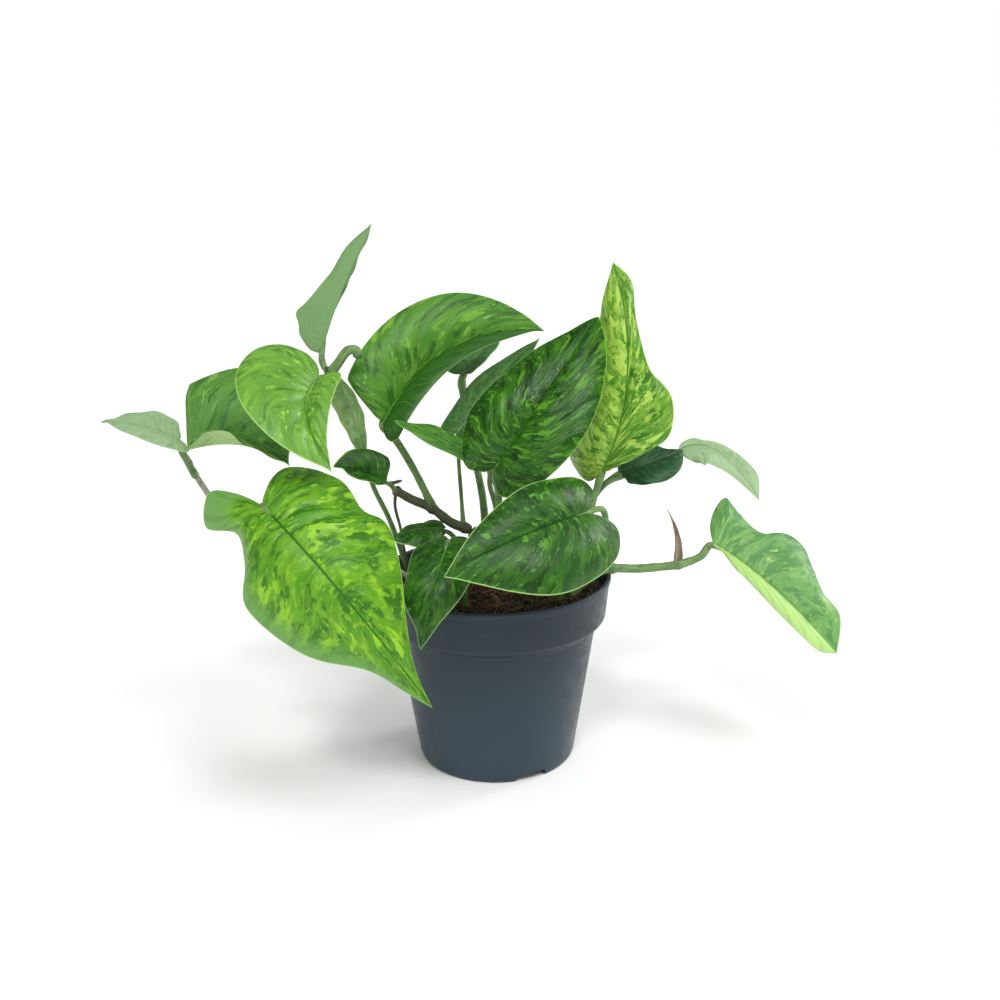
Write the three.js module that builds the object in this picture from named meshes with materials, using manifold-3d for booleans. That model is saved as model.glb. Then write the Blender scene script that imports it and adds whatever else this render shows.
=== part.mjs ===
// A marbled pothos in a round nursery pot, as separate pieces: pot, soil, vines, petioles and leaves.
// Millimetres, +Z up. The origin is the middle of the pot's base, and -Y is the front of the plant.

import * as THREE from 'three';
import { mergeVertices } from 'three/addons/utils/BufferGeometryUtils.js';
import Module from 'manifold-3d';

const wasm = await Module();
wasm.setup();

// Pot: a tapered body under a wider collar
const POT_HEIGHT = 100;
const RIM_RADIUS = 60;
const COLLAR_RADIUS = 57.5;
const COLLAR_BOTTOM = 78;
const SHOULDER_RADIUS = 52.5;
const SHOULDER_HEIGHT = 74;
const BASE_RADIUS = 41;
const EDGE_RADIUS = 2;
const WALL = 1.8;
const RIM_LIP = 1.2;
const FLOOR = 2.5;
const POT_SIDES = 48;

// Drainage slots through the pot's bottom edge
const SLOT_COUNT = 3;
const SLOT_WIDTH = 18;
const SLOT_HEIGHT = 4;
const SLOT_DEPTH = 9;
const FIRST_SLOT_ANGLE = -65;

// Soil: fills the pot to a little under the rim and is slightly heaped
const SOIL_EDGE_HEIGHT = 91;
const SOIL_HEAP = 3;

// The heap's profile: pairs of a share of the soil's radius and a share of the heap's height
const HEAP_PROFILE = [[0.7, 0.6], [0.35, 0.95], [0, 1]];

// Gap kept between pieces that touch, and the distance within which corners are one
const GAP = 0.3;
const MERGE_DISTANCE = 1e-3;

// Leaves: thickness at the midrib, and how finely a blade is divided
const BLADE_THICKNESS = 1;
const BLADE_ROWS = 12;
const BLADE_COLUMNS = 8;

// Where along the midrib a blade is widest, and how far each half domes as a share of its width
const BELLY = 0.25;
const CROWN = 0.12;

// Where between the base and the tip a waist lies, and how far it spreads

// Veins: how strongly their starts crowd towards the base, and how much of their way is curved
const VEIN_CROWDING = 3;
const VEIN_CURVE = 0.4;

// How late a blade thins towards its margin and towards its ends
const MARGIN_SHARPNESS = 4;
const END_SHARPNESS = 0.5;
const NO_FULLNESS = 1e-3;

// The petiole's end is this far behind the base of its blade
const ATTACHMENT_SETBACK = 1;

// Share of the blade's length and width over which its slope is measured
const SLOPE_STEP = 0.02;

// Stems
const STEM_SIDES = 8;
const STEM_STEP = 8;

const POT_BLUE_GREY = 0x3a4854;
const SOIL_BROWN = 0x3d2a1c;
const DARK_GREEN = 0x2c5e1e;
const MID_GREEN = 0x4a8a2a;
const BRIGHT_GREEN = 0x86b53c;
const PALE_GREEN = 0x8fae7c;
const STEM_GREEN = 0x6f9459;
const STEM_BROWN = 0x6b5a48;
const STEM_GREY = 0x9a988c;

const PLASTIC_ROUGHNESS = 0.45;
const SOIL_ROUGHNESS = 0.95;
const LEAF_ROUGHNESS = 0.35;
const STEM_ROUGHNESS = 0.55;

// One half of a heart-shaped blade, from the base round the back lobe to the tip: the distance along
// the midrib as a fraction of its length, and the distance across as a fraction of the half's width.
const HALF_OUTLINE = marginCurve([
  [0, 0], [-0.1, 0.16], [-0.155, 0.42], [-0.1, 0.72], [0.05, 0.93], [0.25, 1],
  [0.46, 0.9], [0.66, 0.64], [0.83, 0.33], [0.94, 0.11], [1, 0],
]);

// Each blade is set by five points: the midrib's base, middle and tip, and the widest point of its
// left and right halves, as seen on its upper face with the tip up. belly is where along the midrib
// the blade is widest. The rest are pairs, for the left and the right half: lobes scales the back
// lobe and taper narrows the part beyond the belly, or margins gives an uneven blade its own outlines.
const LEAVES = {
  leaf_front_left: {
    base: [-104, -70, 158], middle: [-65, -95, 122], tip: [-30, -82, 63],
    left: [-57, -60, 151], right: [-107, -86, 114], belly: 0.32,
    margins: [
      [
        [0, 0], [-0.09, 0.28], [-0.12, 0.6], [-0.05, 0.9], [0.05, 1.01], [0.16, 1.02], [0.28, 0.99],
        [0.39, 1.05], [0.5, 0.97], [0.62, 0.77], [0.74, 0.45], [0.87, 0.14], [1, 0],
      ],
      [
        [0, 0], [-0.14, 0.14], [-0.245, 0.4], [-0.16, 0.76], [-0.02, 0.5], [0.1, 0.68], [0.22, 1.03],
        [0.37, 1.09], [0.53, 1.02], [0.66, 0.8], [0.78, 0.38], [0.9, 0.17], [1, 0],
      ],
    ],
    colour: BRIGHT_GREEN,
  },
  leaf_front_pot: {
    base: [-22, -42, 131], middle: [-29, -68, 116], tip: [-35, -74, 89],
    left: [-9, -55, 120], right: [-42, -56, 121], lobes: [0.8, 0.8], colour: DARK_GREEN,
  },
  leaf_front_centre: {
    base: [43, -42, 144], middle: [8, -72, 141], tip: [-23, -84, 128],
    left: [38, -72, 117], right: [18, -46, 160], lobes: [1.5, 1], colour: MID_GREEN,
  },
  leaf_centre: {
    base: [1, -30, 164], middle: [25, -22, 197], tip: [53, 10, 230],
    left: [-8, -14, 193], right: [42, -34, 178], lobes: [0.7, 1.1], taper: [0.8, 0.75],
    colour: MID_GREEN,
  },
  leaf_right_tall: {
    base: [55, 0, 153], middle: [67, 0, 203], tip: [62, 28, 255],
    left: [44, 12, 181], right: [90, -8, 177], belly: 0.16,
    margins: [
      [
        [0, 0], [-0.09, 0.15], [-0.12, 0.5], [-0.1, 0.82], [-0.02, 0.9], [0.09, 0.84], [0.2, 0.78],
        [0.32, 0.86], [0.45, 0.9], [0.59, 0.78], [0.73, 0.66], [0.87, 0.44], [1, 0],
      ],
      [
        [0, 0], [0.01, 0.1], [0.04, 0.3], [0.08, 0.6], [0.12, 0.92], [0.2, 0.95], [0.3, 0.84],
        [0.38, 0.65], [0.46, 0.43], [0.58, 0.28], [0.73, 0.21], [0.87, 0.25], [1, 0],
      ],
    ],
    colour: BRIGHT_GREEN,
  },
  leaf_right_low: {
    base: [67, 12, 148], middle: [84, 16, 153], tip: [101, 30, 156],
    left: [77, 30, 160], right: [79, 2, 144], colour: DARK_GREEN,
    margins: [
      [
        [0, 0], [-0.08, 0.16], [-0.12, 0.42], [-0.08, 0.72], [0.05, 0.93], [0.25, 1],
        [0.46, 0.9], [0.66, 0.64], [0.83, 0.33], [0.94, 0.11], [1, 0],
      ],
      [
        [0, 0], [0, 0.15], [0.02, 0.32], [0.06, 0.5], [0.12, 0.67], [0.2, 0.83], [0.3, 0.95],
        [0.42, 1.04], [0.55, 1.02], [0.68, 0.87], [0.8, 0.6], [0.91, 0.3], [1, 0],
      ],
    ],
  },
  leaf_right_far: {
    base: [100, 35, 155], middle: [122, 44, 151], tip: [143, 30, 127],
    left: [132, 60, 153], right: [113, 28, 149], belly: 0.5, colour: PALE_GREEN,
    margins: [
      [
        [0, 0], [0, 0.06], [0.02, 0.1], [0.06, 0.15], [0.12, 0.2], [0.2, 0.24], [0.3, 0.26],
        [0.42, 0.34], [0.54, 0.54], [0.65, 0.76], [0.75, 0.82], [0.87, 0.48], [1, 0],
      ],
      [
        [0, 0], [-0.01, 0.16], [0.01, 0.34], [0.05, 0.5], [0.12, 0.64], [0.23, 0.8], [0.34, 0.94],
        [0.46, 1.02], [0.58, 0.98], [0.69, 0.84], [0.79, 0.6], [0.89, 0.3], [1, 0],
      ],
    ],
  },
  leaf_trailing: {
    base: [112, -5, 115], middle: [140, -16, 96], tip: [172, -30, 64],
    left: [150, 10, 115], right: [123, -26, 99], belly: 0.33,
    margins: [
      [
        [0, 0], [-0.08, 0.3], [-0.115, 0.7], [-0.1, 1.05], [0.02, 0.9], [0.17, 0.77], [0.29, 0.84],
        [0.38, 1.08], [0.5, 1.12], [0.61, 0.9], [0.74, 0.65], [0.88, 0.58], [1, 0],
      ],
      [
        [0, 0], [0, 0.04], [0.01, 0.07], [0.04, 0.1], [0.1, 0.16], [0.2, 0.34], [0.3, 0.52],
        [0.42, 0.62], [0.55, 0.72], [0.68, 0.75], [0.8, 0.76], [0.91, 0.62], [1, 0],
      ],
    ],
    colour: PALE_GREEN,
  },
  leaf_back_arch: {
    base: [-55, 5, 179], middle: [-22, 32, 211], tip: [29, 58, 216],
    left: [-49, 31, 230], right: [-32, 8, 194], lobes: [0.1, 0.3], belly: 0.3, taper: [1, 1.2],
    colour: BRIGHT_GREEN,
  },
  leaf_back_dark: {
    base: [-16, 65, 192], middle: [-4, 85, 201], tip: [11, 100, 211],
    left: [-23, 85, 202], right: [-4, 68, 198], lobes: [0.5, 0.2], colour: DARK_GREEN,
  },
  leaf_behind_centre: {
    base: [-18, 20, 170], middle: [3, 38, 193], tip: [26, 50, 214],
    left: [-17, 38, 185], right: [3, 18, 177], lobes: [0.6, 0.5], colour: DARK_GREEN,
  },
  leaf_middle_narrow: {
    base: [-2, -5, 157], middle: [-27, -8, 172], tip: [-49, -10, 183],
    left: [-18, -16, 165], right: [-15, 8, 170], lobes: [0.1, 0.1], colour: MID_GREEN,
  },
  leaf_left_middle: {
    base: [-83, -22, 206], middle: [-85, -50, 194], tip: [-73, -62, 171],
    left: [-73, -38, 204], right: [-117, -42, 215], lobes: [0.8, 2.2], colour: MID_GREEN,
  },
  leaf_top_left: {
    base: [-86, 10, 214], middle: [-75, 24, 244], tip: [-60, 40, 275],
    left: [-81, 43, 224], right: [-98, 11, 230], belly: 0.22, colour: PALE_GREEN,
    margins: [
      [
        [0, 0], [0.02, 0.03], [0.05, 0.05], [0.1, 0.07], [0.17, 0.1], [0.27, 0.15], [0.38, 0.2],
        [0.5, 0.32], [0.6, 0.42], [0.7, 0.45], [0.8, 0.42], [0.9, 0.3], [1, 0],
      ],
      [
        [0, 0], [0.01, 0.2], [0.04, 0.45], [0.09, 0.65], [0.15, 0.8], [0.22, 0.92], [0.29, 0.98],
        [0.36, 0.85], [0.46, 0.66], [0.58, 0.52], [0.7, 0.44], [0.84, 0.32], [1, 0],
      ],
    ],
  },
  leaf_left_far: {
    base: [-158, 0, 173], middle: [-178, 4, 179], tip: [-199, 10, 180],
    left: [-168, -14, 175], right: [-173, 20, 182], lobes: [1.2, 0.5], colour: PALE_GREEN,
  },
  leaf_left_cup: {
    base: [-153, 0, 168], middle: [-125, -2, 170], tip: [-99, -20, 163],
    left: [-125, 26, 203], right: [-126, -24, 181], lobes: [0.1, 0.1], belly: 0.3,
    taper: [1.5, 1], colour: MID_GREEN,
  },
  leaf_small_dark: {
    base: [-54, -5, 151], middle: [-67, -8, 157], tip: [-79, -15, 162],
    left: [-63, -18, 154], right: [-62, 2, 166], lobes: [0.2, 0.2], colour: DARK_GREEN,
  },
  leaf_low_back: {
    base: [-26, 5, 122], middle: [-40, 0, 123], tip: [-55, -8, 120],
    left: [-35, -10, 118], right: [-36, 12, 124], lobes: [0.3, 0.3], colour: DARK_GREEN,
  },
};

// Vines: the woody stems, rooted in the soil. They come before the petioles that grow from them.
const VINES = {
  vine_centre: {
    radius: 4, colour: STEM_BROWN,
    route: [[6, -2, 84], [2, 0, 101], [-3, 3, 112], [-12, 6, 121]],
  },
  vine_left: {
    radius: 2.4, colour: STEM_BROWN, from: 'vine_centre',
    route: [[-12, 6, 121], [-22, 6, 125], [-32, 6, 133], [-43, 4, 139], [-51, 1, 145]],
  },
  vine_left_tall: {
    radius: 1.4, colour: STEM_GREEN,
    route: [[-44, 17, 84], [-50, 17, 108], [-56, 17, 126], [-63, 16, 143], [-67, 14, 163]],
  },
  vine_far_left: {
    radius: 1.6, colour: STEM_GREY,
    route: [
      [-36, 5, 84], [-46, 2, 97], [-62, -2, 109], [-84, -5, 113], [-113, -8, 119],
      [-136, -6, 131], [-145, -3, 146], [-152, 0, 157], [-155, 0, 165],
    ],
  },
  vine_trailing: {
    radius: 2.3, colour: STEM_GREEN,
    route: [
      [34, -12, 84], [46, -10, 97], [57, -8, 103], [75, -7, 103], [95, -7, 105], [101, -7, 107],
    ],
  },
};

// Petioles and other side growth: from names the piece that each grows out of, or the soil without it,
// and leaf names the blade it carries.
const SIDE_STEMS = {
  petiole_front_left: {
    radius: 2, leaf: 'leaf_front_left',
    route: [[-37, -14, 84], [-48, -26, 103], [-68, -48, 123], [-90, -62, 146]],
  },
  petiole_front_pot: {
    radius: 1.6, leaf: 'leaf_front_pot', route: [[-14, -25, 84], [-17, -32, 110]],
  },
  petiole_front_centre: {
    radius: 1.6, leaf: 'leaf_front_centre',
    route: [[29, -20, 84], [44, -28, 115], [54, -28, 133], [52, -33, 143]],
  },
  petiole_centre: {
    radius: 1.8, leaf: 'leaf_centre', route: [[6, -12, 84], [4, -20, 125], [2, -27, 150]],
  },
  petiole_right_tall: {
    radius: 1.8, leaf: 'leaf_right_tall', route: [[34, -2, 84], [46, -1, 118], [52, 1, 142]],
  },
  petiole_right_low: {
    radius: 1.5, leaf: 'leaf_right_low',
    route: [[27, 8, 84], [42, 9, 118], [52, 9, 137], [60, 11, 145]],
  },
  petiole_right_far: {
    radius: 1.4, leaf: 'leaf_right_far',
    route: [[25, 24, 84], [44, 26, 115], [56, 30, 135], [80, 36, 149]],
  },
  petiole_trailing: {
    radius: 1.8, from: 'vine_trailing', leaf: 'leaf_trailing', route: [[99, -7, 106], [106, -6, 109]],
  },
  petiole_back_arch: {
    radius: 2, from: 'vine_left', leaf: 'leaf_back_arch',
    route: [[-31, 6, 132], [-41, 7, 154], [-51, 6, 172]],
  },
  petiole_back_dark: {
    radius: 2.1, from: 'vine_centre', leaf: 'leaf_back_dark',
    route: [[-4, 4, 113], [-6, 18, 136], [-9, 28, 150], [-13, 46, 170], [-16, 58, 183]],
  },
  petiole_behind_centre: {
    radius: 1.1, from: 'vine_left', leaf: 'leaf_behind_centre',
    route: [[-16, 6, 123], [-17, 12, 139], [-18, 17, 155]],
  },
  petiole_middle_narrow: {
    radius: 1.4, from: 'vine_centre', leaf: 'leaf_middle_narrow',
    route: [[1, 1, 108], [1, -1, 134], [-2, -4, 148]],
  },
  sheath_left: {
    radius: 4, from: 'vine_left_tall',
    route: [[-67, 14, 162], [-72, 10, 182], [-78, 4, 198], [-81, 0, 205]],
  },
  petiole_left_middle: {
    radius: 1.4, from: 'sheath_left', leaf: 'leaf_left_middle', route: [[-80, 1, 202], [-83, -9, 205]],
  },
  petiole_top_left: {
    radius: 1.5, from: 'sheath_left', leaf: 'leaf_top_left', route: [[-80, 1, 202], [-84, 5, 209]],
  },
  petiole_small_dark: {
    radius: 1.2, from: 'vine_left', leaf: 'leaf_small_dark', route: [[-50, 1, 144], [-52, -2, 148]],
  },
  petiole_low_back: {
    radius: 1.2, leaf: 'leaf_low_back', route: [[-14, 14, 84], [-17, 10, 105], [-22, 7, 118]],
  },
  aerial_root: {
    radius: 0.8, from: 'vine_left', colour: STEM_BROWN,
    route: [[-50, 1, 144], [-51, 6, 134], [-49, 9, 122], [-47, 8, 108], [-44, 6, 94]],
  },
  bract: {
    radius: 1.1, from: 'vine_trailing', colour: STEM_GREY,
    route: [[94, -7, 105], [94, -6, 116], [92, -5, 125], [88, -5, 133]],
  },
};

const group = new THREE.Group();

function marginCurve(points) {
  return new THREE.SplineCurve(points.map(([along, across]) => new THREE.Vector2(along, across)));
}

function vector(point) {
  return new THREE.Vector3(...point);
}

function toSolid(geometry) {
  const bare = geometry.clone();
  bare.deleteAttribute('normal');
  bare.deleteAttribute('uv');
  const merged = mergeVertices(bare, MERGE_DISTANCE);
  const mesh = new wasm.Mesh({
    numProp: 3,
    vertProperties: new Float32Array(merged.attributes.position.array),
    triVerts: new Uint32Array(merged.index.array),
  });
  mesh.merge();
  return new wasm.Manifold(mesh);
}

function toGeometry(solid) {
  const mesh = solid.getMesh();
  const geometry = new THREE.BufferGeometry();
  geometry.setAttribute('position', new THREE.BufferAttribute(mesh.vertProperties, 3));
  geometry.setIndex(new THREE.BufferAttribute(mesh.triVerts, 1));
  geometry.computeVertexNormals();
  return geometry;
}

function largestPiece(solid) {
  const pieces = solid.decompose();
  pieces.sort((a, b) => b.volume() - a.volume());
  return pieces[0];
}

function addPiece(name, geometry, colour, roughness) {
  const material = new THREE.MeshStandardMaterial({ color: colour, roughness, metalness: 0 });
  const mesh = new THREE.Mesh(geometry, material);
  mesh.name = name;
  group.add(mesh);
}

// A leaf blade as a smooth sheet. t runs from the base (0) to the tip (1) and across from the left
// margin (-1) over the midrib (0) to the right margin (1).
class Blade {
  constructor(leaf) {
    const base = vector(leaf.base);
    const middle = vector(leaf.middle);
    const tip = vector(leaf.tip);
    const ends = base.clone().add(tip);
    const control = middle.clone().multiplyScalar(2).addScaledVector(ends, -0.5);
    this.midrib = new THREE.QuadraticBezierCurve3(base, control, tip);
    this.length = base.distanceTo(middle) + middle.distanceTo(tip);
    this.belly = leaf.belly ?? BELLY;
    this.lobes = leaf.lobes;
    this.tapers = leaf.taper ?? [1, 1];
    this.margins = leaf.margins?.map((margin) => marginCurve(margin));
    const left = vector(leaf.left);
    const right = vector(leaf.right);
    const along = this.midrib.getTangent(this.belly);
    this.facing = right.clone().sub(left).cross(along);
    this.halves = [left, right].map((edge) => this.halfWidth(edge));
  }

  // Directions at a place on the midrib: along it, across the blade to the right, and out of its face
  frame(place) {
    const along = this.midrib.getTangent(place);
    const across = along.clone().cross(this.facing).normalize();
    const out = across.clone().cross(along);
    return { along, across, out };
  }

  // The way from the midrib to a half's widest point, in the frame there
  halfWidth(edge) {
    const offset = edge.clone().sub(this.midrib.getPoint(this.belly));
    const { along, across, out } = this.frame(this.belly);
    return {
      along: offset.dot(along),
      across: offset.dot(across),
      out: offset.dot(out),
      size: offset.length(),
    };
  }

  // Where a half's margin is: its place along the midrib and its share of the half's width
  margin(t, side) {
    if (this.margins) return this.margins[side].getPoint(t);
    const margin = HALF_OUTLINE.getPoint(t);
    const shift = (this.belly - BELLY) / (BELLY * (1 - BELLY));
    const shifted = margin.x + shift * margin.x * (1 - margin.x);
    const place = margin.x < 0 ? margin.x * this.lobes[side] : shifted;
    const width = margin.x > BELLY ? Math.abs(margin.y) ** this.tapers[side] : margin.y;
    return new THREE.Vector2(place, width);
  }

  point(t, across) {
    const side = across < 0 ? 0 : 1;
    const half = this.halves[side];
    const reach = Math.abs(across);
    const margin = this.margin(t, side);
    const veinStart = t ** VEIN_CROWDING;
    const veinReach = (1 - VEIN_CURVE) * reach + VEIN_CURVE * reach * reach;
    const place = veinStart + (margin.x - veinStart) * veinReach;
    const width = margin.y * reach;
    const onMidrib = Math.min(Math.max(place, 0), 1);
    const frame = this.frame(onMidrib);
    const dome = CROWN * half.size * 4 * margin.y * reach * (1 - reach);
    return this.midrib.getPoint(onMidrib)
      .addScaledVector(this.frame(0).along, Math.min(place, 0) * this.length)
      .addScaledVector(frame.along, width * half.along)
      .addScaledVector(frame.across, width * half.across)
      .addScaledVector(frame.out, width * half.out + dome);
  }

  // Out of the sheet at a point, from its slopes along and across; on the midrib, between both halves
  normal(t, across) {
    const sides = Math.abs(across) < SLOPE_STEP ? [-SLOPE_STEP, SLOPE_STEP] : [across];
    const sum = new THREE.Vector3();
    for (const side of sides) {
      const inner = this.point(t, side - Math.sign(side) * SLOPE_STEP);
      const outer = this.point(t, side);
      const slopeAcross = outer.sub(inner).multiplyScalar(Math.sign(side));
      const before = this.point(Math.max(t - SLOPE_STEP, 0), side);
      const slopeAlong = this.point(Math.min(t + SLOPE_STEP, 1), side).sub(before);
      sum.add(slopeAcross.cross(slopeAlong).normalize());
    }
    return sum.normalize();
  }

  // A point of the upper face (side 1) or the lower face (side -1), which meet all round the margin
  facePoint(t, across, side) {
    const point = this.point(t, across);
    const fullness = Math.sin(Math.PI * t) ** END_SHARPNESS * (1 - across ** MARGIN_SHARPNESS);
    if (fullness < NO_FULLNESS) return point;
    return point.addScaledVector(this.normal(t, across), (side * BLADE_THICKNESS * fullness) / 2);
  }

  // The closed blade. Both faces are divided along the same lines, so that they never cross.
  solid() {
    const positions = [];
    const triangles = [];
    for (const side of [1, -1]) {
      const first = positions.length / 3;
      for (let row = 0; row <= BLADE_ROWS; row += 1) {
        for (let column = 0; column <= BLADE_COLUMNS; column += 1) {
          const across = (2 * column) / BLADE_COLUMNS - 1;
          positions.push(...this.facePoint(row / BLADE_ROWS, across, side).toArray());
          if (row === BLADE_ROWS || column === BLADE_COLUMNS) continue;
          const here = first + row * (BLADE_COLUMNS + 1) + column;
          const right = here + 1;
          const beyond = here + BLADE_COLUMNS + 1;
          const corner = beyond + 1;
          if (side > 0) triangles.push(here, right, beyond, right, corner, beyond);
          else triangles.push(here, beyond, right, right, beyond, corner);
        }
      }
    }
    const geometry = new THREE.BufferGeometry();
    geometry.setAttribute('position', new THREE.Float32BufferAttribute(positions, 3));
    geometry.setIndex(triangles);
    return toSolid(geometry);
  }

  // Where the petiole meets the blade: just behind the base and under it
  attachment(radius) {
    const { along, out } = this.frame(0);
    return this.midrib.getPoint(0)
      .addScaledVector(along, -ATTACHMENT_SETBACK)
      .addScaledVector(out, -radius - BLADE_THICKNESS);
  }
}

function ring(radius, sides) {
  const corners = [];
  for (let i = 0; i < sides; i += 1) {
    const angle = (2 * Math.PI * i) / sides;
    corners.push(new THREE.Vector2(radius * Math.cos(angle), radius * Math.sin(angle)));
  }
  return new THREE.Shape(corners);
}

function stemSolid(points, radius) {
  const path = new THREE.CatmullRomCurve3(points);
  const steps = Math.max(2, Math.ceil(path.getLength() / STEM_STEP));
  const options = { steps, bevelEnabled: false, extrudePath: path };
  return toSolid(new THREE.ExtrudeGeometry(ring(radius, STEM_SIDES), options));
}

// The points of a stem, with the place under its blade last
function stemPoints(stem) {
  const points = stem.route.map(vector);
  if (stem.leaf) points.push(blades[stem.leaf].attachment(stem.radius));
  return points;
}

// A stem made larger by the gap all round and at both ends, which cuts back what touches it
function clearance(stem) {
  const points = stemPoints(stem);
  const last = points.length - 1;
  const start = points[0].clone().sub(points[1]).setLength(GAP);
  const end = points[last].clone().sub(points[last - 1]).setLength(GAP);
  points[0].add(start);
  points[last].add(end);
  return stemSolid(points, stem.radius + GAP);
}

function addStem(name, stem) {
  let solid = stemSolid(stemPoints(stem), stem.radius);
  if (stem.from) solid = largestPiece(solid.subtract(clearance(allStems[stem.from])));
  addPiece(name, toGeometry(solid), stem.colour ?? STEM_GREEN, STEM_ROUGHNESS);
}

// A round solid standing on its axis, from pairs of radius and height
function turned(profile) {
  const points = profile.map(([radius, height]) => new THREE.Vector2(radius, height));
  const geometry = new THREE.LatheGeometry(points, POT_SIDES);
  geometry.rotateX(Math.PI / 2);
  return toSolid(geometry);
}

function potSolid() {
  let pot = turned([
    [0, 0],
    [BASE_RADIUS - EDGE_RADIUS, 0],
    [BASE_RADIUS, EDGE_RADIUS],
    [SHOULDER_RADIUS, SHOULDER_HEIGHT],
    [COLLAR_RADIUS, COLLAR_BOTTOM],
    [RIM_RADIUS, POT_HEIGHT - RIM_LIP],
    [RIM_RADIUS - RIM_LIP / 2, POT_HEIGHT],
    [RIM_RADIUS - WALL, POT_HEIGHT],
    [COLLAR_RADIUS - WALL, COLLAR_BOTTOM + WALL / 2],
    [SHOULDER_RADIUS - WALL, SHOULDER_HEIGHT + WALL / 2],
    [BASE_RADIUS - WALL, FLOOR],
    [0, FLOOR],
  ]);
  for (let i = 0; i < SLOT_COUNT; i += 1) {
    const slot = new THREE.BoxGeometry(SLOT_DEPTH, SLOT_WIDTH, 2 * SLOT_HEIGHT);
    slot.translate(BASE_RADIUS - WALL, 0, 0);
    slot.rotateZ(THREE.MathUtils.degToRad(FIRST_SLOT_ANGLE + (360 * i) / SLOT_COUNT));
    pot = pot.subtract(toSolid(slot));
  }
  return pot;
}

// The soil's outer radius at a height: the pot's inside less the gap
function soilRadius(height) {
  const rise = (height - FLOOR) / (SHOULDER_HEIGHT - FLOOR);
  return BASE_RADIUS - WALL + rise * (SHOULDER_RADIUS - BASE_RADIUS) - GAP;
}

function soilSolid() {
  const collarRise = (SOIL_EDGE_HEIGHT - COLLAR_BOTTOM) / (POT_HEIGHT - COLLAR_BOTTOM);
  const topRadius = COLLAR_RADIUS - WALL + collarRise * (RIM_RADIUS - COLLAR_RADIUS) - 2 * GAP;
  const bottom = FLOOR + GAP;
  let soil = turned([
    [0, bottom],
    [soilRadius(bottom) - GAP, bottom],
    [SHOULDER_RADIUS - WALL - 2 * GAP, SHOULDER_HEIGHT + WALL],
    [COLLAR_RADIUS - WALL - 2 * GAP, COLLAR_BOTTOM + 2 * WALL],
    [topRadius, SOIL_EDGE_HEIGHT],
    ...HEAP_PROFILE.map(([out, up]) => [topRadius * out, SOIL_EDGE_HEIGHT + SOIL_HEAP * up]),
  ]);
  for (const stem of Object.values(allStems)) {
    if (stem.route[0][2] < SOIL_EDGE_HEIGHT) {
      soil = soil.subtract(clearance(stem));
    }
  }
  return soil;
}

const allStems = { ...VINES, ...SIDE_STEMS };
const blades = {};
for (const [name, leaf] of Object.entries(LEAVES)) blades[name] = new Blade(leaf);

addPiece('pot', toGeometry(potSolid()), POT_BLUE_GREY, PLASTIC_ROUGHNESS);
addPiece('soil', toGeometry(soilSolid()), SOIL_BROWN, SOIL_ROUGHNESS);
for (const [name, blade] of Object.entries(blades)) {
  addPiece(name, toGeometry(blade.solid()), LEAVES[name].colour, LEAF_ROUGHNESS);
}
for (const [name, stem] of Object.entries(allStems)) addStem(name, stem);

export default group;
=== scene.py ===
"""The looks of a marbled pothos in a nursery pot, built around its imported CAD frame.

Shape values are in millimetres, in the CAD model's frame, and MM turns them into metres: +Z is up,
the origin is the middle of the pot's base, and -Y is the front of the plant.
"""

import math
from collections import namedtuple

import bpy
import numpy as np
from mathutils import Matrix, Vector, noise


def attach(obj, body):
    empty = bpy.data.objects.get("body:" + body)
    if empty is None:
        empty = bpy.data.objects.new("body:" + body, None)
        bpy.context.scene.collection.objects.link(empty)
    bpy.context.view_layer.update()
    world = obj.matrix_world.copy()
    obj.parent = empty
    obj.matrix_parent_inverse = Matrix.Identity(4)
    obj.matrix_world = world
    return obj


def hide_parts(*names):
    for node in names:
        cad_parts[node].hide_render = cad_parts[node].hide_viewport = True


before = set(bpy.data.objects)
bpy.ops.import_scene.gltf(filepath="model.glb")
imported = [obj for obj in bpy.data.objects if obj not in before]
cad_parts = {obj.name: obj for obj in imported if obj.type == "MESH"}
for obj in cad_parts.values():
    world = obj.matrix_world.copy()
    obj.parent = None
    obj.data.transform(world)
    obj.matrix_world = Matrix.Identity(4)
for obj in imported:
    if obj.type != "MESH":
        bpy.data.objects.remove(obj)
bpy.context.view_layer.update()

MM = 0.001

# ---------------------------------------------------------------- camera, light and floor

CAMERA_PLACE = (-2, -582, 310)
CAMERA_PITCH = 16.4
CAMERA_YAW = 0.5
CAMERA_ROLL = 0.7
CAMERA_LENS = 42.8
SENSOR_WIDTH = 36

FLOOR_SIZE = 60
FLOOR_COLOUR = (0.93, 0.93, 0.92, 1)
FLOOR_ROUGHNESS = 0.9

# The sky's strength as the camera sees it, as light on rough surfaces, and in glossy reflections
SKY_SEEN = 1.0
SKY_LIGHT = 0.68
SKY_GLOSS = 0.22

# Each lamp: the way towards it, how wide it looks in degrees, and its strength
LAMPS = {
    "key": ((0.45, -0.5, 1.0), 26, 1.3),
    "window": ((-0.1, -0.6, 0.8), 9, 0.7),
    "back": ((0.9, 0.5, 0.45), 16, 0.9),
}


def add_object(name, data):
    made = bpy.data.objects.new(name, data)
    bpy.context.scene.collection.objects.link(made)
    return made


def make_camera():
    data = bpy.data.cameras.new("camera")
    data.sensor_width = SENSOR_WIDTH
    data.lens = CAMERA_LENS
    data.dof.use_dof = False
    camera = add_object("camera", data)
    turn = Matrix.Rotation(math.radians(-CAMERA_YAW), 4, "Z")
    tilt = Matrix.Rotation(math.radians(90 - CAMERA_PITCH), 4, "X")
    roll = Matrix.Rotation(math.radians(-CAMERA_ROLL), 4, "Z")
    camera.matrix_world = Matrix.Translation(Vector(CAMERA_PLACE) * MM) @ turn @ tilt @ roll
    bpy.context.scene.camera = camera


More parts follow.
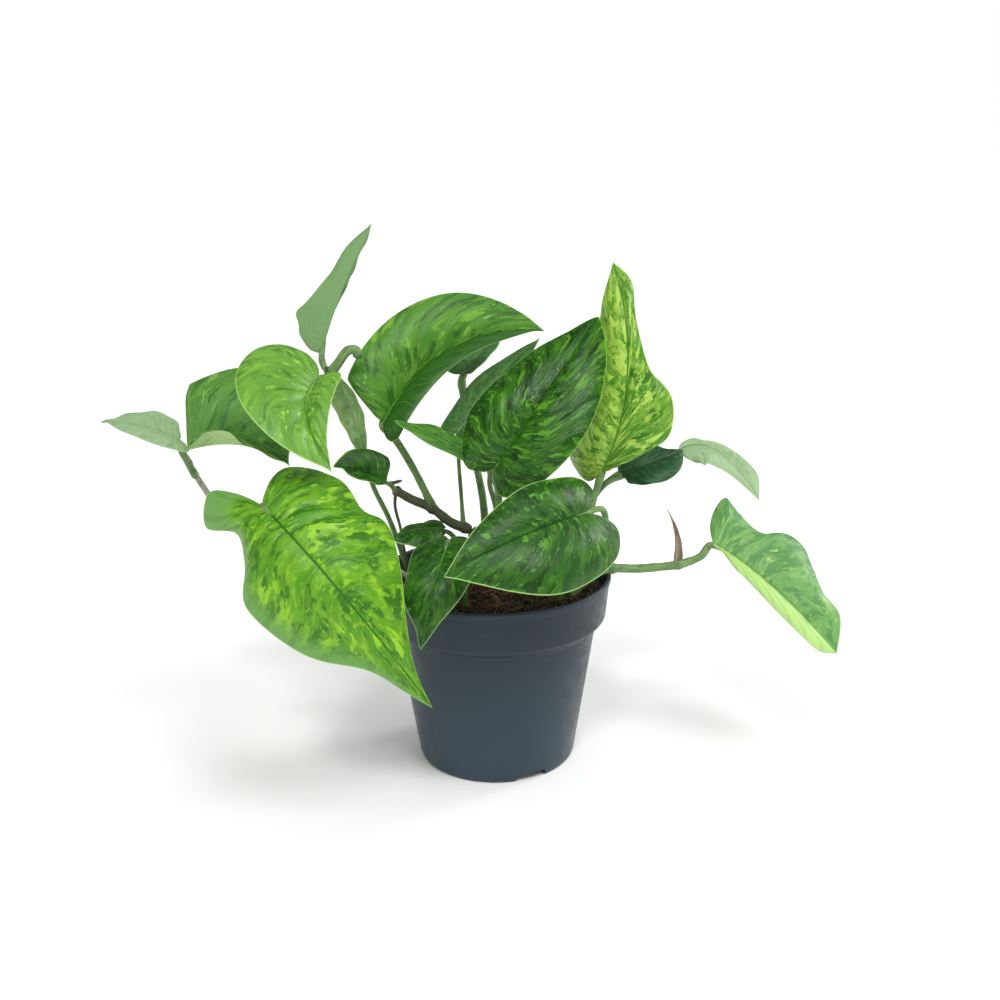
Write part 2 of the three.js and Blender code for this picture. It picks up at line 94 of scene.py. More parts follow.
def make_lamp(name, way, width, strength):
    data = bpy.data.lights.new(name, "SUN")
    data.angle = math.radians(width)
    data.energy = strength
    lamp = add_object(name, data)
    lamp.location = Vector(way)
    lamp.rotation_euler = (-Vector(way)).to_track_quat("-Z", "Y").to_euler()


def make_sky():
    """A white backdrop that lights the plant less strongly than it looks, and shines in it less still."""
    world = bpy.data.worlds.new("sky")
    world.use_nodes = True
    tree = world.node_tree
    background = tree.nodes["Background"]
    background.inputs["Color"].default_value = (1, 1, 1, 1)
    path = tree.nodes.new("ShaderNodeLightPath")
    strength = SKY_LIGHT
    for ray, amount in (("Is Glossy Ray", SKY_GLOSS), ("Is Camera Ray", SKY_SEEN)):
        choice = tree.nodes.new("ShaderNodeMapRange")
        if isinstance(strength, float):
            choice.inputs["To Min"].default_value = strength
        else:
            tree.links.new(strength, choice.inputs["To Min"])
        choice.inputs["To Max"].default_value = amount
        tree.links.new(path.outputs[ray], choice.inputs["Value"])
        strength = choice.outputs["Result"]
    tree.links.new(strength, background.inputs["Strength"])
    bpy.context.scene.world = world


def make_floor():
    half = FLOOR_SIZE / 2
    mesh = bpy.data.meshes.new("floor")
    corners = [(-half, -half, 0), (half, -half, 0), (half, half, 0), (-half, half, 0)]
    mesh.from_pydata(corners, [], [(0, 1, 2, 3)])
    mesh.materials.append(Shader("floor_paper", FLOOR_ROUGHNESS, FLOOR_COLOUR).finished())
    floor = add_object("floor", mesh)


# ---------------------------------------------------------------- shader building


def colour(code):
    """A linear colour from a six-digit sRGB code."""
    parts = [int(code[i : i + 2], 16) / 255 for i in (0, 2, 4)]
    linear = [p / 12.92 if p <= 0.04045 else ((p + 0.055) / 1.055) ** 2.4 for p in parts]
    return (*linear, 1.0)


class Shader:
    """A material of one Principled shader, and short ways to add the nodes that feed it."""

    def __init__(self, name, roughness, ground):
        self.material = bpy.data.materials.new(name)
        self.material.use_nodes = True
        self.tree = self.material.node_tree
        self.surface = self.tree.nodes["Principled BSDF"]
        self.paint_so_far = colour(ground) if isinstance(ground, str) else ground
        self.set("Roughness", roughness)

    def set(self, socket, value):
        self.put(self.surface.inputs[socket], value)

    def put(self, socket, value):
        if isinstance(value, bpy.types.NodeSocket):
            self.tree.links.new(value, socket)
        else:
            socket.default_value = value

    def node(self, kind, settings=None, **inputs):
        node = self.tree.nodes.new(kind)
        for key, value in (settings or {}).items():
            setattr(node, key, value)
        for key, value in inputs.items():
            self.put(node.inputs[key.replace("_", " ")], value)
        return node

    def attribute(self, name):
        return self.node("ShaderNodeAttribute", {"attribute_name": name}).outputs["Vector"]

    def place(self):
        return self.node("ShaderNodeTexCoord").outputs["Object"]

    def split(self, vector):
        return self.node("ShaderNodeSeparateXYZ", Vector=vector).outputs

    def stretched(self, vector, scale, offset=(0, 0, 0)):
        """The vector scaled along each axis and moved."""
        node = self.node("ShaderNodeMapping", Vector=vector, Scale=scale, Location=offset)
        return node.outputs["Vector"]

    def noise(self, vector, scale=1.0, detail=3.0, roughness=0.55, distortion=0.0):
        inputs = dict(Scale=scale, Detail=detail, Roughness=roughness, Distortion=distortion)
        return self.node("ShaderNodeTexNoise", Vector=vector, **inputs).outputs["Fac"]

    def fade(self, value, start, end, low=0.0, high=1.0):
        """Goes smoothly from low to high as value goes from start to end."""
        node = self.node("ShaderNodeMapRange", {"interpolation_type": "SMOOTHSTEP"}, Value=value)
        limits = {"From Min": start, "From Max": end, "To Min": low, "To Max": high}
        for key, number in limits.items():
            node.inputs[key].default_value = number
        return node.outputs["Result"]

    def math(self, operation, first, second=0.0):
        node = self.node("ShaderNodeMath", {"operation": operation})
        self.put(node.inputs[0], first)
        self.put(node.inputs[1], second)
        return node.outputs[0]

    def times(self, first, second):
        return self.math("MULTIPLY", first, second)

    def mix(self, share, first, second):
        """first where share is 0 and second where it is 1."""
        node = self.node("ShaderNodeMix", {"data_type": "RGBA"})
        self.put(node.inputs[0], share)
        self.put(node.inputs[6], first)
        self.put(node.inputs[7], second)
        return node.outputs[2]

    def paint(self, share, tint):
        """Lays a colour, given by its code or by a socket, over the ground where share is 1."""
        tint = colour(tint) if isinstance(tint, str) else tint
        self.paint_so_far = self.mix(share, self.paint_so_far, tint)

    def finished(self):
        self.set("Base Color", self.paint_so_far)
        return self.material

    def mix_value(self, share, first, second):
        """A number that is first where share is 0 and second where it is 1."""
        node = self.node("ShaderNodeMix", {"data_type": "FLOAT"})
        self.put(node.inputs[0], share)
        self.put(node.inputs[2], first)
        self.put(node.inputs[3], second)
        return node.outputs[0]

    def bump(self, height, strength, distance):
        node = self.node("ShaderNodeBump", Height=height, Strength=strength, Distance=distance)
        self.set("Normal", node.outputs["Normal"])


# ---------------------------------------------------------------- meshes and curves


def add_mesh(name, points, faces, material, attributes=None, smooth=True):
    """A mesh object from points in millimetres; attributes hold one vector for each point."""
    mesh = bpy.data.meshes.new(name)
    mesh.from_pydata((np.asarray(points) * MM).tolist(), [], [list(map(int, f)) for f in faces])
    for key, values in (attributes or {}).items():
        layer = mesh.attributes.new(key, "FLOAT_VECTOR", "POINT")
        layer.data.foreach_set("vector", np.asarray(values, np.float32).ravel())
    mesh.materials.append(material)
    mesh.polygons.foreach_set("use_smooth", [smooth] * len(mesh.polygons))
    mesh.update()
    return add_object(name, mesh)


def belongs(piece, slot, *nodes):
    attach(piece, "root")
    if nodes:
        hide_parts(*nodes)


def unit(vectors):
    return vectors / np.maximum(np.linalg.norm(vectors, axis=-1, keepdims=True), 1e-9)


def outline_curve(points, places):
    """Points of a smooth curve through evenly counted points; places run from 0 to 1."""
    points = np.asarray(points, float)
    last = len(points) - 1
    position = np.clip(places, 0, 1) * last
    index = np.minimum(position.astype(int), last - 1)
    part = (position - index)[..., None]
    p0 = points[np.maximum(index - 1, 0)]
    p1 = points[index]
    p2 = points[index + 1]
    p3 = points[np.minimum(index + 2, last)]
    bend = 2 * p0 - 5 * p1 + 4 * p2 - p3
    twist = 3 * p1 - p0 - 3 * p2 + p3
    return p1 + 0.5 * part * (p2 - p0 + part * (bend + part * twist))


def smooth_path(points, step):
    """Points about a step apart on a centripetal curve through the given ones."""
    points = [np.asarray(p, float) for p in points]
    ends = [2 * points[0] - points[1]] + points + [2 * points[-1] - points[-2]]
    path = []
    for i in range(1, len(ends) - 2):
        four = ends[i - 1 : i + 3]
        knots = [0.0]
        for a, b in zip(four, four[1:]):
            knots.append(knots[-1] + max(np.linalg.norm(b - a), 1e-6) ** 0.5)
        count = max(2, int(np.linalg.norm(four[2] - four[1]) / step))
        for k in range(count):
            path.append(between_knots(four, knots, knots[1] + (knots[2] - knots[1]) * k / count))
    path.append(points[-1])
    return np.array(path)


def between_knots(four, knots, at):
    """The point at a knot value on a curve through four points, by repeated blending."""
    level = list(four)
    for width in (1, 2, 3):
        blended = []
        for i in range(len(level) - 1):
            low, high = (knots[i], knots[i + width]) if width < 3 else knots[1:3]
            share = (at - low) / (high - low)
            blended.append(level[i] * (1 - share) + level[i + 1] * share)
        level = blended
    return level[0]


def path_frames(path, facing=None):
    """For each point of a path two directions across it."""
    along = unit(np.gradient(path, axis=0))
    first = np.array(facing if facing is not None else (0.1, -1, 0.2), float)
    across = np.zeros_like(path)
    for i, direction in enumerate(along):
        guide = first if facing is not None or i == 0 else across[i - 1]
        across[i] = unit(guide - direction * guide.dot(direction))
    return across, np.cross(along, across)


def tube_faces(count, rings):
    """Faces that join rings of count points each, closed by the two points that follow the rings."""
    faces = []
    for low in range(0, (rings - 1) * count, count):
        for j in range(count):
            k = (j + 1) % count
            faces.append((low + j, low + k, low + count + k, low + count + j))
    start, end, top = rings * count, rings * count + 1, (rings - 1) * count
    for j in range(count):
        k = (j + 1) % count
        faces.append((start, k, j))
        faces.append((end, top + j, top + k))
    return faces


def sweep(path, section, facing=None):
    """A closed skin round a path. section(i) gives the outline at point i as pairs across the path."""
    across, side = path_frames(path, facing)
    rings = []
    for i, centre in enumerate(path):
        outline = np.asarray(section(i))
        rings.append(centre + outline[:, :1] * across[i] + outline[:, 1:] * side[i])
    points = np.concatenate(rings + [rings[0].mean(0)[None], rings[-1].mean(0)[None]])
    return points, tube_faces(len(rings[0]), len(rings))


def path_lengths(path):
    steps = np.linalg.norm(np.diff(path, axis=0), axis=1)
    return np.concatenate([[0], np.cumsum(steps)])


class Heap:
    """Many small bodies gathered into one mesh, each with a random number for its colour."""

    def __init__(self):
        self.points = []
        self.faces = []
        self.shades = []
        self.count = 0

    def add(self, points, faces, shade):
        self.faces.extend([tuple(self.count + i for i in face) for face in faces])
        self.points.append(points)
        self.shades.append(np.tile([shade, 0.0, 0.0], (len(points), 1)))
        self.count += len(points)

    def make(self, name, material):
        shades = np.concatenate(self.shades)
        return add_mesh(name, np.concatenate(self.points), self.faces, material, {"shade": shades})


# ---------------------------------------------------------------- leaf shapes

# One half of a heart-shaped blade, from the base round the back lobe to the tip: the distance along
# the midrib as a fraction of its length, and the distance across as a fraction of the half's width.
HALF_OUTLINE = [
    (0, 0), (-0.1, 0.16), (-0.155, 0.42), (-0.1, 0.72), (0.05, 0.93), (0.25, 1),
    (0.46, 0.9), (0.66, 0.64), (0.83, 0.33), (0.94, 0.11), (1, 0),
]
BELLY = 0.25
CROWN = 0.12
VEIN_CROWDING = 3
VEIN_CURVE = 0.4

BLADE_THICKNESS = 0.7
BLADE_ROWS = 96
HALF_COLUMNS = 26

# Veins in each half and how far they wander, how deep they lie, how far the margin and the whole sheet
# wave, and the midrib's groove above and ridge below
VEINS = 13
VEIN_WANDER = 0.02
QUILT = 0.3
RIPPLE = 0.9
DRIFT = 0.6
GROOVE_DEPTH = 0.45
RIDGE_DEPTH = 0.9

# Each blade by five points, as in the CAD model: the midrib's base, middle and tip, and the widest
# point of its left and right halves. belly is where the blade is widest. lobes and taper are pairs,
# for the left and right half: lobes scales the back lobe and taper narrows the part beyond the belly,
# or margins gives an uneven blade its own outlines. ripple is how far the margin waves, quilt how deep
# the veins lie, and mood holds for each half how calm and how bright its colours are and how much
# painted shade darkens it.
LEAVES = {
    "leaf_front_left": dict(
        base=(-104, -70, 158), middle=(-65, -95, 122), tip=(-30, -82, 63),
        left=(-57, -60, 151), right=(-107, -86, 114), belly=0.32,
        margins=(
            [(0, 0), (-0.09, 0.28), (-0.12, 0.6), (-0.05, 0.9), (0.05, 1.01), (0.16, 1.02), (0.28, 0.99),
             (0.39, 1.05), (0.5, 0.97), (0.62, 0.77), (0.74, 0.45), (0.87, 0.14), (1, 0)],
            [(0, 0), (-0.14, 0.14), (-0.245, 0.4), (-0.16, 0.76), (-0.02, 0.5), (0.1, 0.68), (0.22, 1.03),
             (0.37, 1.09), (0.53, 1.02), (0.66, 0.8), (0.78, 0.38), (0.9, 0.17), (1, 0)],
        ),
        slot="leaf_bright", look="marbled", ripple=0.9, quilt=1.5, mood=((0, 0, 0), (1, 0, 0)),
    ),
    "leaf_front_pot": dict(
        base=(-22, -42, 131), middle=(-29, -68, 116), tip=(-35, -74, 89),
        left=(-9, -55, 120), right=(-42, -56, 121), lobes=(0.8, 0.8),
        slot="leaf_dark", look="dark",
    ),
    "leaf_front_centre": dict(
        base=(43, -42, 144), middle=(8, -72, 141), tip=(-23, -84, 128),
        left=(38, -72, 117), right=(18, -46, 160), lobes=(1.5, 1),
        slot="leaf_green", look="streaked_in_shade",
    ),
    "leaf_centre": dict(
        base=(1, -30, 164), middle=(25, -22, 197), tip=(53, 10, 230),
        left=(-8, -14, 193), right=(42, -34, 178), lobes=(0.7, 1.1), taper=(0.8, 0.75),
        slot="leaf_green", look="glossy", quilt=0.9, mood=((0, 0, 0), (0, 0.02, 0.15)),
    ),
    "leaf_right_tall": dict(
        base=(55, 0, 153), middle=(67, 0, 203), tip=(62, 28, 255),
        left=(44, 12, 181), right=(90, -8, 177), belly=0.16,
        margins=(
            [(0, 0), (-0.09, 0.15), (-0.12, 0.5), (-0.1, 0.82), (-0.02, 0.9), (0.09, 0.84), (0.2, 0.78),
             (0.32, 0.86), (0.45, 0.9), (0.59, 0.78), (0.73, 0.66), (0.87, 0.44), (1, 0)],
            [(0, 0), (0.01, 0.1), (0.04, 0.3), (0.08, 0.6), (0.12, 0.92), (0.2, 0.95), (0.3, 0.84),
             (0.38, 0.65), (0.46, 0.43), (0.58, 0.28), (0.73, 0.21), (0.87, 0.25), (1, 0)],
        ),
        slot="leaf_bright", look="chartreuse", ripple=0.8, quilt=0.8,
        mood=((0, 0.045, 0), (0, -0.01, 0)),
    ),
    "leaf_right_low": dict(
        base=(67, 12, 148), middle=(84, 16, 153), tip=(101, 30, 156),
        left=(77, 30, 160), right=(79, 2, 144),
        margins=(
            [(0, 0), (-0.08, 0.16), (-0.12, 0.42), (-0.08, 0.72), (0.05, 0.93), (0.25, 1),
             (0.46, 0.9), (0.66, 0.64), (0.83, 0.33), (0.94, 0.11), (1, 0)],
            [(0, 0), (0, 0.15), (0.02, 0.32), (0.06, 0.5), (0.12, 0.67), (0.2, 0.83), (0.3, 0.95),
             (0.42, 1.04), (0.55, 1.02), (0.68, 0.87), (0.8, 0.6), (0.91, 0.3), (1, 0)],
        ),
        slot="leaf_dark", look="deep",
    ),
    "leaf_right_far": dict(
        base=(100, 35, 155), middle=(122, 44, 151), tip=(143, 30, 127),
        left=(132, 60, 153), right=(113, 28, 149), belly=0.5,
        margins=(
            [(0, 0), (0, 0.06), (0.02, 0.1), (0.06, 0.15), (0.12, 0.2), (0.2, 0.24), (0.3, 0.26),
             (0.42, 0.34), (0.54, 0.54), (0.65, 0.76), (0.75, 0.82), (0.87, 0.48), (1, 0)],
            [(0, 0), (-0.01, 0.16), (0.01, 0.34), (0.05, 0.5), (0.12, 0.64), (0.23, 0.8), (0.34, 0.94),
             (0.46, 1.02), (0.58, 0.98), (0.69, 0.84), (0.79, 0.6), (0.89, 0.3), (1, 0)],
        ),
        slot="leaf_pale", look="pale",
    ),
    "leaf_trailing": dict(
        base=(112, -5, 115), middle=(140, -16, 96), tip=(172, -30, 64),
        left=(150, 10, 115), right=(123, -26, 99), belly=0.33,
        margins=(
            [(0, 0), (-0.08, 0.3), (-0.115, 0.7), (-0.1, 1.05), (0.02, 0.9), (0.17, 0.77), (0.29, 0.84),
             (0.38, 1.08), (0.5, 1.12), (0.61, 0.9), (0.74, 0.65), (0.88, 0.58), (1, 0)],
            [(0, 0), (0, 0.04), (0.01, 0.07), (0.04, 0.1), (0.1, 0.16), (0.2, 0.34), (0.3, 0.52),
             (0.42, 0.62), (0.55, 0.72), (0.68, 0.75), (0.8, 0.76), (0.91, 0.62), (1, 0)],
        ),
        slot="leaf_pale", look="pale_marbled", ripple=0.6, quilt=0.6,
        mood=((0, -0.06, 0), (1, 0.3, -0.35)),
    ),
    "leaf_back_arch": dict(
        base=(-55, 5, 179), middle=(-22, 32, 211), tip=(29, 58, 216),
        left=(-49, 31, 230), right=(-32, 8, 194), lobes=(0.1, 0.3), belly=0.3, taper=(1, 1.2),
        slot="leaf_bright", look="fresh", quilt=0.9, mood=((0, 0, 0), (0, -0.1, 0.75)),
    ),
    "leaf_back_dark": dict(
        base=(-16, 65, 192), middle=(-4, 85, 201), tip=(11, 100, 211),
        left=(-23, 85, 202), right=(-4, 68, 198), lobes=(0.5, 0.2),
        slot="leaf_dark", look="dull_in_shade",
    ),
    "leaf_behind_centre": dict(
        base=(-18, 20, 170), middle=(3, 38, 193), tip=(26, 50, 214),
        left=(-17, 38, 185), right=(3, 18, 177), lobes=(0.6, 0.5),
        slot="leaf_dark", look="dull_in_shade",
    ),
    "leaf_middle_narrow": dict(
        base=(-2, -5, 157), middle=(-27, -8, 172), tip=(-49, -10, 183),
        left=(-18, -16, 165), right=(-15, 8, 170), lobes=(0.1, 0.1),
        slot="leaf_green", look="plain",
    ),
    "leaf_left_middle": dict(
        base=(-83, -22, 206), middle=(-85, -50, 194), tip=(-73, -62, 171),
        left=(-73, -38, 204), right=(-117, -42, 215), lobes=(0.8, 2.2),
        slot="leaf_bright", look="mellow", quilt=1.1,
    ),
    "leaf_top_left": dict(
        base=(-86, 10, 214), middle=(-75, 24, 244), tip=(-60, 40, 275),
        left=(-81, 43, 224), right=(-98, 11, 230), belly=0.22,
        margins=(
            [(0, 0), (0.02, 0.03), (0.05, 0.05), (0.1, 0.07), (0.17, 0.1), (0.27, 0.15), (0.38, 0.2),
             (0.5, 0.32), (0.6, 0.42), (0.7, 0.45), (0.8, 0.42), (0.9, 0.3), (1, 0)],
            [(0, 0), (0.01, 0.2), (0.04, 0.45), (0.09, 0.65), (0.15, 0.8), (0.22, 0.92), (0.29, 0.98),
             (0.36, 0.85), (0.46, 0.66), (0.58, 0.52), (0.7, 0.44), (0.84, 0.32), (1, 0)],
        ),
        slot="leaf_pale", look="pale_green",
    ),
    "leaf_left_far": dict(
        base=(-158, 0, 173), middle=(-178, 4, 179), tip=(-199, 10, 180),
        left=(-168, -14, 175), right=(-173, 20, 182), lobes=(1.2, 0.5),
        slot="leaf_pale", look="pale",
    ),
    "leaf_left_cup": dict(
        base=(-153, 0, 168), middle=(-125, -2, 170), tip=(-99, -20, 163),
        left=(-125, 26, 203), right=(-126, -24, 181), lobes=(0.1, 0.1), belly=0.3,
        taper=(1.5, 1),
        slot="leaf_green", look="cup", ripple=1.0, mood=((0, 0, 0.3), (0, 0, 0)),
    ),
    "leaf_small_dark": dict(
        base=(-54, -5, 151), middle=(-67, -8, 157), tip=(-79, -15, 162),
        left=(-63, -18, 154), right=(-62, 2, 166), lobes=(0.2, 0.2),
        slot="leaf_dark", look="dark",
    ),
    "leaf_low_back": dict(
        base=(-26, 5, 122), middle=(-40, 0, 123), tip=(-55, -8, 120),
        left=(-35, -10, 118), right=(-36, 12, 124), lobes=(0.3, 0.3),
        slot="leaf_dark", look="dark",
    ),
}


class Blade:
    """A leaf blade as a smooth sheet, the same one as in the CAD model. t runs from the base (0) to
    the tip (1) and across from the left margin (-1) over the midrib (0) to the right one (1)."""

    def __init__(self, leaf):
        self.base = np.array(leaf["base"], float)
        middle = np.array(leaf["middle"], float)
        self.tip = np.array(leaf["tip"], float)
        self.control = 2 * middle - 0.5 * (self.base + self.tip)
        self.length = np.linalg.norm(middle - self.base) + np.linalg.norm(self.tip - middle)
        self.belly = leaf.get("belly", BELLY)
        self.lobes = leaf.get("lobes")
        self.tapers = leaf.get("taper", (1, 1))
        self.margins = leaf.get("margins")
        left = np.array(leaf["left"], float)
        right = np.array(leaf["right"], float)
        self.facing = np.cross(right - left, self.tangent(self.belly))
        self.halves = [self.half_width(edge) for edge in (left, right)]

    def midrib(self, place):
        place = np.asarray(place, float)[..., None]
        first = (1 - place) ** 2 * self.base
        return first + 2 * (1 - place) * place * self.control + place**2 * self.tip

    def tangent(self, place):
        place = np.asarray(place, float)[..., None]
        return unit((1 - place) * (self.control - self.base) + place * (self.tip - self.control))

    def frame(self, place):
        """Directions at a place on the midrib: along it, across to the right, and out of the face."""
        along = self.tangent(place)
        across = unit(np.cross(along, self.facing))
        return along, across, np.cross(across, along)

    def half_width(self, edge):
        offset = edge - self.midrib(self.belly)
        parts = [float(offset.dot(direction)) for direction in self.frame(self.belly)]
        return (*parts, float(np.linalg.norm(offset)))

    def margin(self, t, side):
        """Where a half's margin is: its places along the midrib and its shares of the half's width."""
        if self.margins:
            outline = outline_curve(self.margins[side], t)
            return outline[..., 0], outline[..., 1]
        outline = outline_curve(HALF_OUTLINE, t)
        place, width = outline[..., 0], outline[..., 1]
        shift = (self.belly - BELLY) / (BELLY * (1 - BELLY))
        shifted = place + shift * place * (1 - place)
        tapered = np.abs(width) ** self.tapers[side]
        return (
            np.where(place < 0, place * self.lobes[side], shifted),
            np.where(place > BELLY, tapered, width),
        )

    def points(self, t, across):
        """Points of the sheet for arrays of t and across of the same shape."""
        right = across >= 0
        reach = np.abs(across)
        (left_place, left_width), (right_place, right_width) = (self.margin(t, i) for i in (0, 1))
        margin_place = np.where(right, right_place, left_place)
        margin_width = np.where(right, right_width, left_width)
        vein_start = t**VEIN_CROWDING
        vein_reach = (1 - VEIN_CURVE) * reach + VEIN_CURVE * reach**2
        place = vein_start + (margin_place - vein_start) * vein_reach
        width = margin_width * reach
        along, side, out = self.frame(np.clip(place, 0, 1))
        start = self.frame(0)[0]
        half = np.where(right[..., None], self.halves[1], self.halves[0])
        dome = CROWN * half[..., 3] * 4 * margin_width * reach * (1 - reach)
        behind = np.minimum(place, 0) * self.length
        sheet = self.midrib(np.clip(place, 0, 1)) + behind[..., None] * start
        sheet += (width * half[..., 0])[..., None] * along
        sheet += (width * half[..., 1])[..., None] * side
        return sheet + (width * half[..., 2] + dome)[..., None] * out


def waves(values, seed, low, high):
    """A smooth random wave of a few frequencies between low and high, from about -1 to 1."""
    random = np.random.default_rng(seed)
    total = np.zeros_like(values)
    count = 4
    for _ in range(count):
        total += np.sin(values * random.uniform(low, high) + random.uniform(0, 2 * math.pi))
    return total / count**0.5


def blade_mesh(leaf, seed):
    """The fine closed skin of a blade, with where each point lies between veins, ribs and margins."""
    blade = Blade(leaf)
    rows = 1 - (1 - np.linspace(0, 1, BLADE_ROWS + 1)) ** 1.5
    columns = 0.5 - 0.5 * np.cos(math.pi * np.linspace(0, 1, HALF_COLUMNS + 1))
    columns = np.concatenate([-columns[:0:-1], columns])
    t, across = np.meshgrid(rows, columns, indexing="ij")
    sheet = blade.points(t, across)
    down, over = np.gradient(sheet, axis=(0, 1))
    normal = unit(np.cross(over, down))
    normal[0] = normal[1]
    normal[-1] = normal[-2]

    reach = np.abs(across)
    side = np.sign(across)
    centre = blade.points(rows[:, None], np.zeros((len(rows), 1)))
    edges = [blade.points(rows[:, None], np.full((len(rows), 1), end)) for end in (-1.0, 1.0)]
    width_left, width_right = (np.linalg.norm(edge - centre, axis=-1) for edge in edges)
    width = np.where(across < 0, width_left, width_right)

    ends = np.sin(math.pi * t) ** 0.5
    from_rib = width * reach
    from_margin = width * (1 - reach)
    wandering = t + VEIN_WANDER * waves(reach * 3 + side, seed, 1, 3)
    quilt = leaf.get("quilt", QUILT) * np.abs(np.sin(math.pi * wandering * VEINS)) ** 0.7
    quilt *= np.sin(math.pi * np.clip(reach, 0, 1)) ** 0.8 * ends
    margin_wave = np.where(across < 0, waves(t, seed, 9, 34), waves(t, seed + 50, 9, 34))
    ripple = leaf.get("ripple", RIPPLE) * reach**3 * ends * margin_wave
    drift = DRIFT * waves(t + 0.7 * across, seed + 7, 2, 8) * ends * reach
    groove = GROOVE_DEPTH * np.exp(-((from_rib / 0.7) ** 2)) * ends
    sheet = sheet + (quilt + ripple + drift)[..., None] * normal

    body = 0.5 * BLADE_THICKNESS * np.sqrt(np.clip(1 - reach**8, 0, 1)) * ends
    ridge = RIDGE_DEPTH * np.exp(-((from_rib / 1.1) ** 2)) * (1 - 0.75 * t) * ends
    upper = sheet + (body - groove)[..., None] * normal
    lower = sheet - (body + ridge)[..., None] * normal

    # Each half's mood: its calm share, how far its marbling leans to bright, and its painted shade, all
    # faded in from the midrib; calm only near the margin and in the back lobe
    moods = np.array(leaf.get("mood", ((0, 0, 0), (0, 0, 0))), float)
    mood = np.where((across < 0)[..., None], moods[0], moods[1]) * np.clip(5 * reach, 0, 1)[..., None]
    margin_calm = np.clip((reach - 0.72) / 0.2, 0, 1)
    lobe_calm = np.clip((0.34 - t) / 0.08, 0, 1) * np.clip((reach - 0.45) / 0.2, 0, 1)
    mood[..., 0] *= np.maximum(margin_calm, lobe_calm)
    vein = np.stack([wandering, reach, side], axis=-1)
    faced = [np.stack([from_rib, from_margin, np.full_like(t, under)], axis=-1) for under in (0, 1)]

    def skin(above, below, base=(0, 0, 0), tip=(0, 0, 0)):
        """Row by row across the upper face and back across the lower one, then the base and tip."""
        rings = np.concatenate([above[1:-1], below[1:-1, -2:0:-1]], axis=1)
        return np.concatenate([rings.reshape(-1, 3), [base, tip]])

    points = skin(upper, lower, sheet[0, 0], sheet[-1, 0])
    faces = tube_faces(4 * HALF_COLUMNS, BLADE_ROWS - 1)
    veins = skin(vein, vein, tip=(1, 0, 0))
    return blade, points, faces, {"vein": veins, "span": skin(*faced), "mood": skin(mood, mood)}


# ---------------------------------------------------------------- leaf materials

LEAF_SPECULAR = 0.32
LEAF_RELIEF = 0.3
UNDERSIDE_ROUGHNESS = 0.62

# A kind of leaf: the colours of its ground, darker and brighter marbling, midrib, margin and underside,
# how much of the blade the brighter and darker marbling covers, its roughness, how strongly its veins
# and the painted shade along them are drawn, and where it has its own, the colour of its calm stretches
# and the strength of its bumps. Some looks darken the greens with painted shade, as noted at each.
Look = namedtuple(
    "Look", "ground dark bright rib margin under brightness darkness gloss veins calm relief",
    defaults=(None, LEAF_RELIEF),
)

LOOKS = {
    "marbled": Look(
        "4b8c14", "2a660e", "8cc026", "2f6a14", "a8d070", "8fb07c", 0.37, 0.42, 0.4, 0.28, calm="6a9f4a",
    ),
    # Painted shade: the dark look's greens stand in for the shade on leaves low in the plant and deep among
    # the others
    "dark": Look("1d4f0b", "103506", "579420", "4f8a2c", "8fc05c", "5f8a58", 0.26, 0.4, 0.36, 0.25),
    # Painted shade: this look's dark ground and marbling stand in for the shade on the low front leaf; its
    # streaks are its own
    "streaked_in_shade": Look("1b4d09", "103706", "579424", "17480a", "a6d27a", "7fa870", 0.3, 0.36, 0.38, 0.3),
    "glossy": Look(
        "184a07", "0e3305", "56941f", "2f7014", "7ab840", "7fa870", 0.34, 0.42, 0.22, 0.3, relief=0.7,
    ),
    "chartreuse": Look(
        "488818", "2a6410", "aed458", "5c9c24", "b8d88c", "8fb47c", 0.42, 0.4, 0.24, 0.2, relief=0.7,
    ),
    "deep": Look("235024", "17401a", "33683a", "2c5c30", "3f7444", "4f7a58", 0.2, 0.45, 0.45, 0.15),
    "pale": Look("8aa878", "7c9c6c", "98b488", "9ab48a", "a2b894", "98b088", 0.3, 0.35, 0.5, 0.15),
    "pale_marbled": Look(
        "6a9f54", "4c8444", "a8cf72", "7aae64", "a2bd92", "9ab884", 0.34, 0.36, 0.45, 0.25, calm="a4cc78",
    ),
    "pale_green": Look("71955a", "64894e", "7fa35e", "86a078", "8f9f88", "6f955c", 0.3, 0.35, 0.5, 0.15),
    "fresh": Look("3f7a1c", "245610", "70a432", "6aa43c", "7ea85c", "86ac72", 0.32, 0.36, 0.4, 0.45),
    "mellow": Look("5a9030", "3a7020", "8cc040", "a2c878", "9ac864", "86ac72", 0.3, 0.3, 0.38, 0.4),
    # Painted shade: this look's darker greens stand in for the shade on the leaves behind the others
    "dull_in_shade": Look("3c6a2c", "2c5624", "558040", "5a8448", "6f945c", "4a7440", 0.3, 0.45, 0.45, 0.2),
    "plain": Look("3a741c", "255810", "68a034", "62a040", "7fb060", "3f7424", 0.3, 0.4, 0.4, 0.3),
    "cup": Look("558c34", "2a6420", "86b450", "7fae54", "b2cf9e", "a4c67e", 0.32, 0.36, 0.4, 0.3),
}


